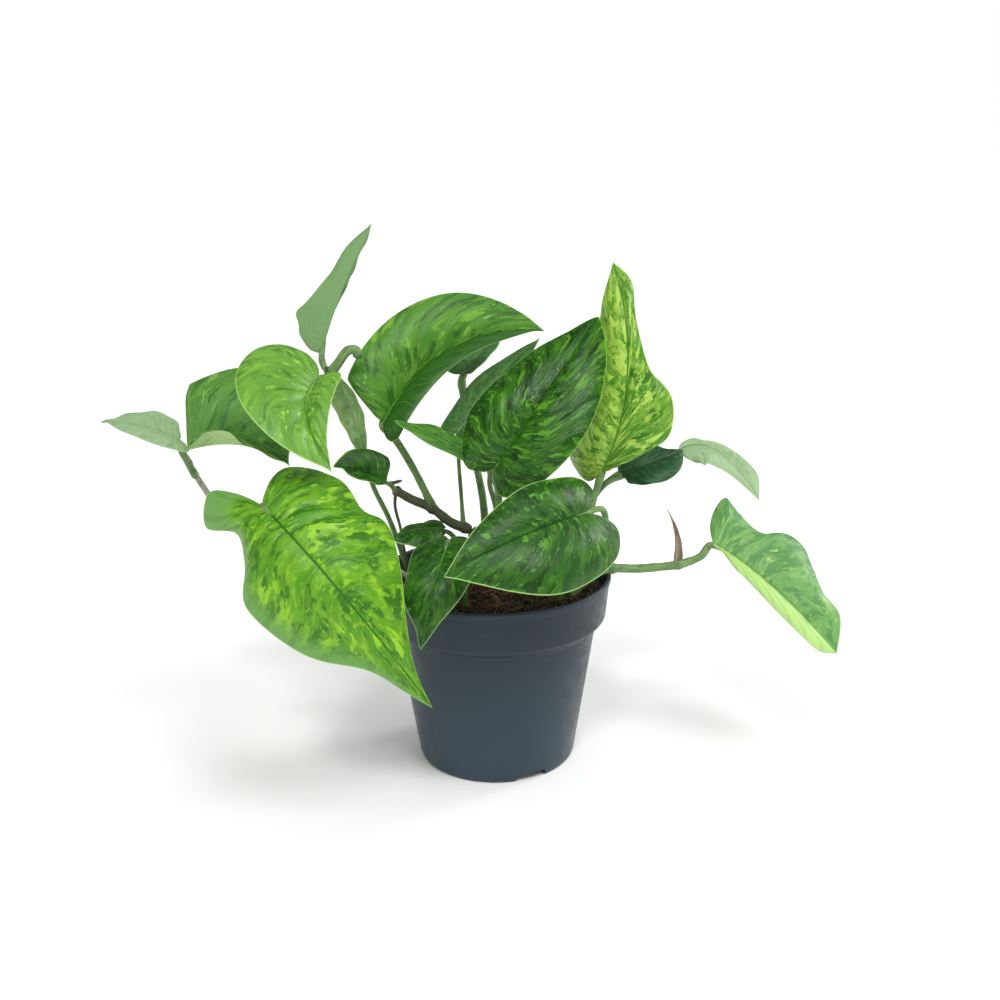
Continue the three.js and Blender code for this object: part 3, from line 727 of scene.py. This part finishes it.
def leaf_material(name, look, seed):
    """A marbled leaf skin: patches drawn out along the veins, veins with painted shade along their creases,
    painted shade on shaded halves, midrib, margin and underside.
    """
    shader = Shader(name, look.gloss, look.ground)
    vein = shader.attribute("vein")
    from_rib, from_margin, under = shader.split(shader.attribute("span"))
    calm, favour, shade = shader.split(shader.attribute("mood"))
    t, reach, _ = shader.split(vein)
    place = shader.place()
    wander = shader.noise(shader.stretched(place, (60, 60, 60), (seed, 0, 0)), 1.0, 2.0)
    shifted = shader.node("ShaderNodeVectorMath", {"operation": "MULTIPLY_ADD"})
    shader.put(shifted.inputs[0], wander)
    shifted.inputs[1].default_value = (0.035, 0.05, 0)
    shader.put(shifted.inputs[2], vein)
    lanes = shifted.outputs[0]

    def marbling(across_veins, along_veins, shift, share, softness, detail=4.0, lean="ADD"):
        """Patches drawn out along the veins, covering about a share of the blade."""
        stretched = shader.stretched(lanes, (across_veins, along_veins, 9.7), (shift, seed, shift))
        cells = shader.math(lean, shader.noise(stretched, 1.0, detail, 0.6, 0.35), favour)
        edge = 0.5 + (0.5 - share) * 0.5
        return shader.fade(cells, edge - softness, edge + softness)

    broad = marbling(8, 1.6, seed * 1.7, 0.5, 0.12, 2.0)
    tone = marbling(18, 2.0, seed * 4.3 + 3, 0.5, 0.12, 3.0)
    dark = marbling(24, 2.8, seed * 2.3 + 5, look.darkness, 0.05, lean="SUBTRACT")
    bright = marbling(30, 3.6, seed * 3.1 + 11, look.brightness, 0.022)
    flecks = marbling(85, 8.0, seed * 0.7 + 23, look.brightness * 0.75, 0.02, 2.0)
    bright = shader.times(bright, shader.fade(broad, 0.0, 1.0, 0.25, 1.0))

    shader.paint(shader.times(tone, 0.32), look.bright)
    shader.paint(shader.times(dark, 0.85), look.dark)
    shader.paint(shader.times(flecks, 0.55), look.bright)
    shader.paint(bright, look.bright)
    # Painted shade: a half's shade share darkens it towards the dark colour
    shader.paint(shade, look.dark)
    shader.paint(calm, look.calm or look.ground)

    # Veins: painted shade along each vein's crease, with a thin light line in it that fades towards the
    # margin
    lines = shader.math("PINGPONG", shader.times(t, VEINS), 0.5)
    shader.paint(shader.fade(lines, 0.03, 0.16, look.veins, 0.0), look.dark)
    core = shader.fade(lines, 0.0, 0.04, look.veins, 0.0)
    shader.paint(shader.times(core, shader.fade(reach, 0.5, 1.0, 1.0, 0.2)), look.bright)

    shader.paint(shader.fade(from_rib, 0.35, 0.8, 1.0, 0.0), look.rib)
    shader.paint(shader.fade(from_margin, 0.2, 0.7, 0.9, 0.0), look.margin)
    shader.paint(under, shader.mix(shader.times(dark, 0.35), colour(look.under), colour(look.ground)))

    grain = shader.noise(place, 900.0, 3.0, 0.6)
    patchy = shader.noise(place, 45.0, 2.0)
    rough = shader.fade(patchy, 0.3, 0.7, look.gloss - 0.04, look.gloss + 0.08)
    shader.set("Roughness", shader.mix_value(under, rough, UNDERSIDE_ROUGHNESS))
    fine = shader.noise(shader.stretched(lanes, (160, 14, 0)), 1.0, 2.0)
    shader.bump(shader.math("ADD", shader.times(grain, 0.35), fine), look.relief, 0.0004)
    shader.set("Specular IOR Level", LEAF_SPECULAR)
    return shader.finished()


def make_leaves():
    blades = {}
    for seed, (name, leaf) in enumerate(LEAVES.items(), start=1):
        blade, points, faces, attributes = blade_mesh(leaf, seed)
        material = leaf_material(name + "_skin", LOOKS[leaf["look"]], seed)
        piece = add_mesh(name + "_blade", points, faces, material, attributes)
        belongs(piece, leaf["slot"], name)
        blades[name] = blade
    return blades


# ---------------------------------------------------------------- stems

STEM_SIDES = 20
STEM_DETAIL = 1.2
PETIOLE_GROOVE = 0.16

# Each stem as in the CAD model: its radius and route. A petiole carries the blade of the same name.
# kind is its material, green if nothing is said, nodes are the swollen rings along it, as shares of its
# length, and extra marks a stem that is only in the visual model.
STEMS = {
    "vine_centre": dict(
        radius=4, kind="woody", nodes=(0.42, 0.8),
        route=[(6, -2, 84), (2, 0, 101), (-3, 3, 112), (-12, 6, 121)],
    ),
    "vine_left": dict(
        radius=2.4, kind="woody", nodes=(0.08, 0.5, 0.96),
        route=[(-12, 6, 121), (-22, 6, 125), (-32, 6, 133), (-43, 4, 139), (-51, 1, 145)],
    ),
    "vine_left_tall": dict(
        radius=1.4,
        route=[(-44, 17, 84), (-50, 17, 108), (-56, 17, 126), (-63, 16, 143), (-67, 14, 163)],
    ),
    "vine_far_left": dict(
        radius=1.6, kind="dry", nodes=(0.35, 0.72, 0.97),
        route=[(-36, 5, 84), (-46, 2, 97), (-62, -2, 109), (-84, -5, 113), (-113, -8, 119),
               (-136, -6, 131), (-145, -3, 146), (-152, 0, 157), (-155, 0, 165)],
    ),
    "vine_trailing": dict(
        radius=2.3, nodes=(0.45, 0.9),
        route=[(34, -12, 84), (46, -10, 97), (57, -8, 103), (75, -7, 103), (95, -7, 105), (101, -7, 107)],
    ),
    "petiole_front_left": dict(
        radius=2, route=[(-37, -14, 84), (-48, -26, 103), (-68, -48, 123), (-90, -62, 146)],
    ),
    "petiole_front_pot": dict(radius=1.6, route=[(-14, -25, 84), (-17, -32, 110)]),
    "petiole_front_centre": dict(
        radius=1.6, route=[(29, -20, 84), (44, -28, 115), (54, -28, 133), (52, -33, 143)],
    ),
    "petiole_centre": dict(radius=1.8, route=[(6, -12, 84), (4, -20, 125), (2, -27, 150)]),
    "petiole_right_tall": dict(radius=1.8, route=[(34, -2, 84), (46, -1, 118), (52, 1, 142)]),
    "petiole_right_low": dict(radius=1.5, route=[(27, 8, 84), (42, 9, 118), (52, 9, 137), (60, 11, 145)]),
    "petiole_right_far": dict(
        radius=1.4, route=[(25, 24, 84), (44, 26, 115), (56, 30, 135), (80, 36, 149)],
    ),
    "petiole_trailing": dict(radius=1.8, route=[(99, -7, 106), (106, -6, 109)]),
    "petiole_back_arch": dict(radius=2, route=[(-31, 6, 132), (-41, 7, 154), (-51, 6, 172)]),
    "petiole_back_dark": dict(
        radius=2.1, route=[(-4, 4, 113), (-6, 18, 136), (-9, 28, 150), (-13, 46, 170), (-16, 58, 183)],
    ),
    "petiole_behind_centre": dict(radius=1.1, route=[(-16, 6, 123), (-17, 12, 139), (-18, 17, 155)]),
    "petiole_middle_narrow": dict(radius=1.4, route=[(1, 1, 108), (1, -1, 134), (-2, -4, 148)]),
    "petiole_left_middle": dict(radius=1.4, route=[(-80, 1, 202), (-83, -9, 205)]),
    "petiole_top_left": dict(radius=1.5, route=[(-80, 1, 202), (-84, 5, 209)]),
    "petiole_small_dark": dict(radius=1.2, route=[(-50, 1, 144), (-52, -2, 148)]),
    "petiole_low_back": dict(radius=1.2, route=[(-14, 14, 84), (-17, 10, 105), (-22, 7, 118)]),
    "stub": dict(
        radius=0.9, kind="woody", extra=True, route=[(-55, 1, 148), (-50.5, -1, 149), (-46.5, -3, 150.6)],
    ),
    "far_joint": dict(
        radius=1.9, extra=True,
        route=[(-150, -1, 153), (-154, 0, 161), (-157, 0, 168), (-158, 0, 173)],
    ),
    "curled_stipule": dict(
        radius=2.4, nodes=(0.96,), extra=True,
        route=[(-80, 1, 205), (-76, 1, 210), (-71, 2, 216), (-67, 3, 216), (-66, 3.5, 212)],
    ),
    "aerial_root": dict(
        radius=0.8, kind="woody",
        route=[(-50, 1, 144), (-51, 6, 134), (-49, 9, 122), (-47, 8, 108), (-44, 6, 94)],
    ),
}


def stem_material(name, ground, streak, blotch, roughness):
    """A stem's skin: long streaks along it, broad blotches, and a fine grain."""
    shader = Shader(name, roughness, ground)
    along = shader.attribute("along")
    place = shader.place()
    streaks = shader.noise(shader.stretched(along, (0.12, 2.4, 1)), 1.0, 4.0, 0.6, 0.2)
    blotches = shader.noise(place, 160.0, 3.0, 0.6)
    shader.paint(shader.fade(streaks, 0.42, 0.62), streak)
    shader.paint(shader.fade(blotches, 0.52, 0.66, 0.0, 0.8), blotch)
    rings = shader.split(along)[2]
    shader.paint(shader.times(rings, 0.7), blotch)
    shader.set("Roughness", shader.fade(blotches, 0.3, 0.7, roughness - 0.08, roughness + 0.08))
    shader.bump(shader.math("ADD", streaks, shader.noise(place, 1400.0, 2.0)), 0.35, 0.0003)
    return shader.finished()


def stem_materials():
    return {
        "green": stem_material("stem_green_skin", "5c7f42", "7c9c5c", "4a6a3c", 0.48),
        "woody": stem_material("stem_woody_skin", "55583c", "3f5230", "4f4234", 0.6),
        "dry": stem_material("stem_dry_skin", "8f8f80", "a3a394", "6e6658", 0.7),
    }


def stem_points(stem, blade):
    """The route, and for a petiole its end under the blade's midrib."""
    points = list(stem["route"])
    if blade:
        along, _, out = blade.frame(0.0)
        points.append(blade.base - along * 0.5 * stem["radius"] - out * stem["radius"] * 0.9)
        joined = blade.midrib(min(0.16, 9 / blade.length))
        points.append(joined - blade.frame(0.1)[2] * 0.8)
    return points


def stem_radii(stem, path, carries_blade):
    """The radius along a stem: wide where it starts, fullest just under the blade, with its nodes."""
    lengths = path_lengths(path)
    total = lengths[-1]
    share = lengths / total
    radii = np.full(len(path), float(stem["radius"]))
    if carries_blade:
        radii *= 0.94 + 0.32 * np.exp(-((share / 0.12) ** 2))
        to_end = total - lengths
        radii *= 1 + 0.22 * np.exp(-(((to_end - 13) / 4.5) ** 2))
        radii *= np.clip(0.28 + to_end / 9, 0, 1)
    else:
        radii *= 1.06 - 0.14 * share
    for node in stem.get("nodes", ()):
        radii *= 1 + 0.28 * np.exp(-(((lengths - node * total) / 1.6) ** 2))
    return radii * (1 + 0.03 * waves(lengths, int(total), 0.1, 0.9))


def round_section(radius, groove):
    """A circle with a shallow channel along one side."""
    angles = 2 * math.pi * np.arange(STEM_SIDES) / STEM_SIDES
    dent = 1 - groove * np.exp(-((np.minimum(angles, 2 * math.pi - angles) / 0.5) ** 2))
    return np.stack([radius * dent * np.cos(angles), radius * dent * np.sin(angles)], axis=1)


def stem_attributes(path, stem, count):
    """For each point of the skin: distance along the stem, angle round it, and nearness to a node."""
    lengths = path_lengths(path)
    near = np.zeros(len(path))
    for node in stem.get("nodes", ()):
        near = np.maximum(near, np.exp(-(((lengths - node * lengths[-1]) / 1.3) ** 2)))
    rows = []
    for i, length in enumerate(lengths):
        for j in range(count):
            angle = 2 * math.pi * j / count
            rows.append((length, math.cos(angle) + 2 * math.sin(angle), near[i]))
    rows.append((0, 0, 0))
    rows.append((lengths[-1], 0, 0))
    return np.array(rows)


def make_stems(blades, materials):
    for name, stem in STEMS.items():
        blade = blades.get(name.replace("petiole_", "leaf_"))
        path = smooth_path(stem_points(stem, blade), STEM_DETAIL)
        radii = stem_radii(stem, path, blade is not None)
        radii[0] *= 0.7
        radii[-1] *= 0.6
        groove = PETIOLE_GROOVE if blade else 0.0
        points, faces = sweep(path, lambda i: round_section(radii[i], groove))
        kind = stem.get("kind", "green")
        attributes = {"along": stem_attributes(path, stem, STEM_SIDES)}
        piece = add_mesh(name + "_skin", points, faces, materials[kind], attributes)
        belongs(piece, "stem_" + kind, *([] if stem.get("extra") else [name]))


# Open channels: the winged sheath on the tall left vine and the dry bract on the trailing vine. Each
# has its half width from start to end, its opening angle in degrees, and the way its opening faces.
CHANNELS = {
    "sheath_left": dict(
        route=[(-67, 14, 160), (-72, 10, 182), (-78, 4, 198), (-82, 0, 208)],
        widths=[1.8, 4.8, 6.2, 6.4, 5.0, 1.6], opening=150, facing=(0.3, -1, 0.1),
        thickness=0.7, kind="sheath", slot="stem_green",
    ),
    "bract": dict(
        route=[(94, -7, 104), (94, -6, 116), (92, -5, 125), (88, -5, 134)],
        widths=[2.2, 2.4, 1.7, 1.1, 0.6, 0.15], opening=120, facing=(0.6, -1, 0),
        thickness=0.35, kind="bract", slot="stem_dry",
    ),
}


def channel_section(half_width, opening, thickness):
    """A thin bent strip, open on its facing side: its outer face one way and its inner face back."""
    count = 12
    spread = math.radians(360 - opening) / 2
    angles = np.linspace(math.pi - spread, math.pi + spread, count)
    outer = half_width * np.stack([np.cos(angles), np.sin(angles)], axis=1)
    thin = thickness * np.sqrt(np.clip(1 - np.linspace(-1, 1, count) ** 6, 0.02, 1))
    scale = np.maximum(half_width - thin, half_width * 0.25)[::-1, None]
    inner = scale * np.stack([np.cos(angles[::-1]), np.sin(angles[::-1])], axis=1)
    return np.concatenate([outer, inner])


def make_channels():
    skins = {
        "sheath": stem_material("sheath_skin", "8fb070", "a9c690", "6f9858", 0.5),
        "bract": stem_material("bract_skin", "8f8070", "b0a090", "6a5a4a", 0.75),
    }
    for name, channel in CHANNELS.items():
        path = smooth_path(channel["route"], STEM_DETAIL)
        lengths = path_lengths(path)
        share = lengths / lengths[-1]
        widths = np.interp(share, np.linspace(0, 1, len(channel["widths"])), channel["widths"])
        widths *= 1 + 0.05 * waves(share, 3, 8, 30)
        section = lambda i: channel_section(widths[i], channel["opening"], channel["thickness"])
        points, faces = sweep(path, section, channel["facing"])
        attributes = {"along": stem_attributes(path, {}, len(section(0)))}
        piece = add_mesh(name + "_skin", points, faces, skins[channel["kind"]], attributes)
        belongs(piece, channel["slot"], name)


# ---------------------------------------------------------------- pot

POT_HEIGHT = 100
RIM_RADIUS = 60
COLLAR_RADIUS = 57.5
COLLAR_BOTTOM = 78
SHOULDER_RADIUS = 52.5
SHOULDER_HEIGHT = 74
BASE_RADIUS = 41
WALL = 1.8
POT_FLOOR = 2.5
FOOT_HOLLOW = 1.0
FOOT_WIDTH = 9
EDGE_ROUNDING = 1.4
POT_SIDES = 160
POT_SPECULAR = 0.35

SLOT_COUNT = 3
SLOT_WIDTH = 18
SLOT_HEIGHT = 4
SLOT_DEPTH = 9
FIRST_SLOT_ANGLE = -65


def rounded(profile, radius, steps=4):
    """A profile with each inner corner replaced by a short arc."""
    result = [profile[0]]
    for before, corner, after in zip(profile, profile[1:], profile[2:]):
        corner = np.array(corner, float)
        ways = [np.array(p, float) - corner for p in (before, after)]
        reach = min([radius] + [0.45 * np.linalg.norm(way) for way in ways])
        start, end = (corner + way / np.linalg.norm(way) * reach for way in ways)
        for k in range(steps + 1):
            share = k / steps
            first = start * (1 - share) + corner * share
            second = corner * (1 - share) + end * share
            result.append(tuple(first * (1 - share) + second * share))
    result.append(profile[-1])
    return result


def lathe(profile, sides):
    """A closed skin of revolution from pairs of radius and height that start and end on the axis."""
    angles = 2 * math.pi * np.arange(sides) / sides
    points = [(0, 0, profile[0][1])]
    for radius, height in profile[1:-1]:
        points.extend((radius * math.cos(a), radius * math.sin(a), height) for a in angles)
    points.append((0, 0, profile[-1][1]))
    top = len(points) - 1 - sides
    faces = []
    for j in range(sides):
        k = (j + 1) % sides
        faces.append((0, 1 + k, 1 + j))
        for low in range(1, top, sides):
            faces.append((low + j, low + k, low + sides + k, low + sides + j))
        faces.append((top + j, top + k, len(points) - 1))
    return points, faces


def pot_material():
    shader = Shader("pot_skin", 0.38, "2b3e4b")
    place = shader.place()
    height = shader.split(place)[2]
    cloud = shader.noise(place, 22.0, 3.0, 0.5)
    dust = shader.noise(place, 140.0, 5.0, 0.65)
    shader.paint(shader.fade(height, 0.0, 0.1), "18262f")
    shader.paint(shader.fade(cloud, 0.35, 0.7, 0.0, 0.35), "22313d")
    shader.paint(shader.fade(dust, 0.62, 0.8, 0.0, 0.35), "44525d")
    shader.paint(shader.fade(height, 0.0965, 0.0995, 0.0, 0.35), "46535e")
    shader.set("Roughness", shader.fade(dust, 0.35, 0.75, 0.33, 0.5))
    shader.set("Specular IOR Level", POT_SPECULAR)
    grain = shader.noise(place, 1800.0, 2.0)
    drawn = shader.noise(shader.stretched(place, (60, 60, 900)), 1.0, 2.0)
    shader.bump(shader.math("ADD", grain, shader.times(drawn, 0.6)), 0.12, 0.0002)
    return shader.finished()


def make_pot():
    outside = [
        (0, FOOT_HOLLOW), (BASE_RADIUS - FOOT_WIDTH, FOOT_HOLLOW),
        (BASE_RADIUS - FOOT_WIDTH + 1.5, 0), (BASE_RADIUS - 0.5, 0),
        (BASE_RADIUS + 0.4, 2.6), (SHOULDER_RADIUS, SHOULDER_HEIGHT),
        (COLLAR_RADIUS, COLLAR_BOTTOM), (RIM_RADIUS - 0.6, POT_HEIGHT - 3.4),
        (RIM_RADIUS + 0.2, POT_HEIGHT - 2.8), (RIM_RADIUS + 0.1, POT_HEIGHT - 0.2),
        (RIM_RADIUS - WALL, POT_HEIGHT),
    ]
    inside = [
        (COLLAR_RADIUS - WALL, COLLAR_BOTTOM + 1), (SHOULDER_RADIUS - WALL, SHOULDER_HEIGHT + 1),
        (BASE_RADIUS - WALL, POT_FLOOR), (0, POT_FLOOR),
    ]
    points, faces = lathe(rounded(outside + inside, EDGE_ROUNDING), POT_SIDES)
    pot = add_mesh("pot_shell", points, faces, pot_material())
    for i in range(SLOT_COUNT):
        cut_slot(pot, math.radians(FIRST_SLOT_ANGLE + 360 * i / SLOT_COUNT))
    pot.data.set_sharp_from_angle(angle=math.radians(35))
    belongs(pot, "pot_plastic", "pot")


def cut_slot(pot, angle):
    """Cuts one drainage slot, wider at the bottom, through the pot's lower edge."""
    half = SLOT_WIDTH / 2
    outline = [(-half, -1), (half, -1), (half - 1.5, SLOT_HEIGHT), (1.5 - half, SLOT_HEIGHT)]
    inner = BASE_RADIUS - WALL - SLOT_DEPTH / 2
    corners = [(inner + depth, across, up) for depth in (0, SLOT_DEPTH) for across, up in outline]
    faces = [(0, 3, 2, 1), (4, 5, 6, 7)]
    faces += [(i, (i + 1) % 4, 4 + (i + 1) % 4, 4 + i) for i in range(4)]
    turn = np.array(Matrix.Rotation(angle, 3, "Z"))
    cutter = add_mesh("slot_cutter", np.array(corners) @ turn.T, faces, pot.data.materials[0], smooth=False)
    cut = pot.modifiers.new("slot", "BOOLEAN")
    cut.object = cutter
    cut.operation = "DIFFERENCE"
    cut.solver = "EXACT"
    apply_modifiers(pot)
    bpy.data.objects.remove(cutter)


def apply_modifiers(piece):
    graph = bpy.context.evaluated_depsgraph_get()
    made = bpy.data.meshes.new_from_object(piece.evaluated_get(graph))
    piece.modifiers.clear()
    piece.data = made


# ---------------------------------------------------------------- soil

SOIL_EDGE_HEIGHT = 91
SOIL_HEAP = 3
SOIL_SIDES = 180
SOIL_RINGS = 64
CRUMB_COUNT = 900
SOIL_GAP = 0.6
SOIL_BOTTOM = POT_FLOOR + 0.3
COLLAR_SHARE = 0.59
SOIL_RADIUS = COLLAR_RADIUS - WALL + COLLAR_SHARE * (RIM_RADIUS - COLLAR_RADIUS) - SOIL_GAP

# Loose strands on the soil: how many, the ranges of their length, radius and rise, their skin's name
# and two colours, and for moss the range of places where its left border wanders
STRANDS = {
    "soil_fibres": dict(
        count=240, length=(6, 18), radius=(0.16, 0.34), rise=(0.1, 1.6),
        skin=("fibre_skin", "3b2415", "9a6a44"),
    ),
    "soil_moss": dict(
        count=260, length=(2, 6), radius=(0.15, 0.3), rise=(0.8, 2.6), border=(-20, 30),
        skin=("moss_skin", "28331a", "6f8038"),
    ),
}
STRAND_ROUGHNESS = 0.85


def lumps(point, size, seed=0.0):
    return noise.fractal(Vector((point[0] / size, point[1] / size, seed)), 0.9, 2.1, 4)


def soil_height(x, y):
    """The soil's surface: a low heap with lumps and hollows."""
    share = min(math.hypot(x, y) / SOIL_RADIUS, 1.0)
    heap = SOIL_EDGE_HEIGHT + SOIL_HEAP * (1 - share**2) - 1.2
    return heap + 1.3 * lumps((x, y), 11) + 0.7 * lumps((x, y), 3.4, 5.0) + 0.3 * lumps((x, y), 1.3, 9.0)


def soil_material():
    shader = Shader("soil_skin", 0.9, "1b130d")
    place = shader.place()
    clods = shader.noise(place, 150.0, 6.0, 0.7)
    specks = shader.noise(place, 700.0, 4.0, 0.7)
    shader.paint(shader.fade(clods, 0.38, 0.62), "4a3322")
    shader.paint(shader.fade(specks, 0.56, 0.7, 0.0, 0.7), "7a5636")
    green = shader.fade(shader.noise(place, 60.0, 3.0), 0.52, 0.62, 0.0, 0.5)
    right = shader.fade(shader.split(place)[0], -0.005, 0.03)
    shader.paint(shader.times(green, right), "3b4a1e")
    shader.bump(shader.math("ADD", clods, specks), 0.9, 0.0012)
    return shader.finished()


def bit_material(name, first, second, roughness):
    """Loose bits of one kind, each with its own shade between two colours."""
    shader = Shader(name, roughness, first)
    shade = shader.split(shader.attribute("shade"))[0]
    grain = shader.noise(shader.place(), 900.0, 4.0, 0.7)
    shader.paint(shade, second)
    shader.paint(shader.fade(grain, 0.4, 0.7, 0.0, 0.5), first)
    shader.bump(grain, 0.6, 0.0004)
    return shader.finished()


def make_soil():
    gap = WALL + SOIL_GAP
    sides = [
        (BASE_RADIUS - gap, SOIL_BOTTOM), (SHOULDER_RADIUS - gap, SHOULDER_HEIGHT + WALL),
        (COLLAR_RADIUS - gap, COLLAR_BOTTOM + 2 * WALL),
    ]
    top = [(SOIL_RADIUS * i / SOIL_RINGS, SOIL_EDGE_HEIGHT) for i in range(SOIL_RINGS, -1, -1)]
    points, faces = lathe([(0, SOIL_BOTTOM)] + sides + top, SOIL_SIDES)
    first = 1 + len(sides) * SOIL_SIDES
    points[first:] = [(x, y, soil_height(x, y)) for x, y, _ in points[first:]]
    soil = add_mesh("soil_body", points, faces, soil_material())
    belongs(soil, "soil", "soil")
    make_crumbs()
    make_strands()


ICOSAHEDRON_FACES = [
    (0, 11, 5), (0, 5, 1), (0, 1, 7), (0, 7, 10), (0, 10, 11), (1, 5, 9), (5, 11, 4), (11, 10, 2),
    (10, 7, 6), (7, 1, 8), (3, 9, 4), (3, 4, 2), (3, 2, 6), (3, 6, 8), (3, 8, 9), (4, 9, 5),
    (2, 4, 11), (6, 2, 10), (8, 6, 7), (9, 8, 1),
]


def icosahedron():
    golden = (1 + 5**0.5) / 2
    corners = [
        (-1, golden, 0), (1, golden, 0), (-1, -golden, 0), (1, -golden, 0), (0, -1, golden),
        (0, 1, golden), (0, -1, -golden), (0, 1, -golden), (golden, 0, -1), (golden, 0, 1),
        (-golden, 0, -1), (-golden, 0, 1),
    ]
    return unit(np.array(corners, float))


def random_spot(random, limit):
    radius = limit * random.uniform() ** 0.5
    angle = random.uniform(0, 2 * math.pi)
    return radius * math.cos(angle), radius * math.sin(angle)


def make_crumbs():
    """Peat crumbs scattered over the soil."""
    random = np.random.default_rng(11)
    corners = icosahedron()
    heap = Heap()
    for _ in range(CRUMB_COUNT):
        x, y = random_spot(random, SOIL_RADIUS - 2.5)
        size = random.uniform(0.5, 1.1) * random.choice([1, 1, 1.6])
        shape = corners * random.uniform(0.6, 1.25, (12, 1)) * size * random.uniform(0.6, 1.3, 3)
        turn = np.array(Matrix.Rotation(random.uniform(0, 6), 3, Vector(random.normal(size=3))))
        centre = np.array([x, y, soil_height(x, y) + 0.25 * size])
        heap.add(shape @ turn.T + centre, ICOSAHEDRON_FACES, random.uniform())
    crumbs = heap.make("soil_crumbs", bit_material("crumb_skin", "1c130c", "5f4028", 0.92))
    belongs(crumbs, "soil")


def strand(random, x, y, length, radius, rise):
    """A short curved fibre lying on the soil, or standing a little out of it."""
    heading = random.uniform(0, 2 * math.pi)
    path = []
    steps = 7
    for k in range(steps):
        heading += random.normal(0, 0.3)
        height = soil_height(x, y) + radius + rise * math.sin(math.pi * k / (steps - 1))
        path.append((x, y, height))
        x = x + math.cos(heading) * length / steps
        y = y + math.sin(heading) * length / steps
        share = math.hypot(x, y) / (SOIL_RADIUS - 1)
        if share > 1:
            x, y = x / share, y / share
    path = np.array(path)
    angles = 2 * math.pi * np.arange(5) / 5
    circle = np.stack([np.cos(angles), np.sin(angles)], axis=1)
    thin = radius * np.sin(math.pi * (np.arange(steps) + 0.6) / (steps + 0.2)) ** 0.5
    return sweep(path, lambda i: circle * thin[i])


def make_strands():
    """Peat fibres all over the soil, and moss, which grows mostly at the right."""
    random = np.random.default_rng(23)
    for name, kind in STRANDS.items():
        heap = Heap()
        for _ in range(kind["count"]):
            x, y = random_spot(random, SOIL_RADIUS - 2)
            if "border" in kind and x < random.uniform(*kind["border"]):
                continue
            sizes = [random.uniform(*kind[key]) for key in ("length", "radius", "rise")]
            points, faces = strand(random, x, y, *sizes)
            heap.add(points, faces, random.uniform())
        piece = heap.make(name, bit_material(*kind["skin"], STRAND_ROUGHNESS))
        belongs(piece, "soil")


# ---------------------------------------------------------------- the scene

bpy.context.scene.view_settings.view_transform = "Standard"
make_camera()
for lamp_name, lamp in LAMPS.items():
    make_lamp(lamp_name, *lamp)
make_sky()
make_floor()
leaf_blades = make_leaves()
make_stems(leaf_blades, stem_materials())
make_channels()
make_pot()
make_soil()
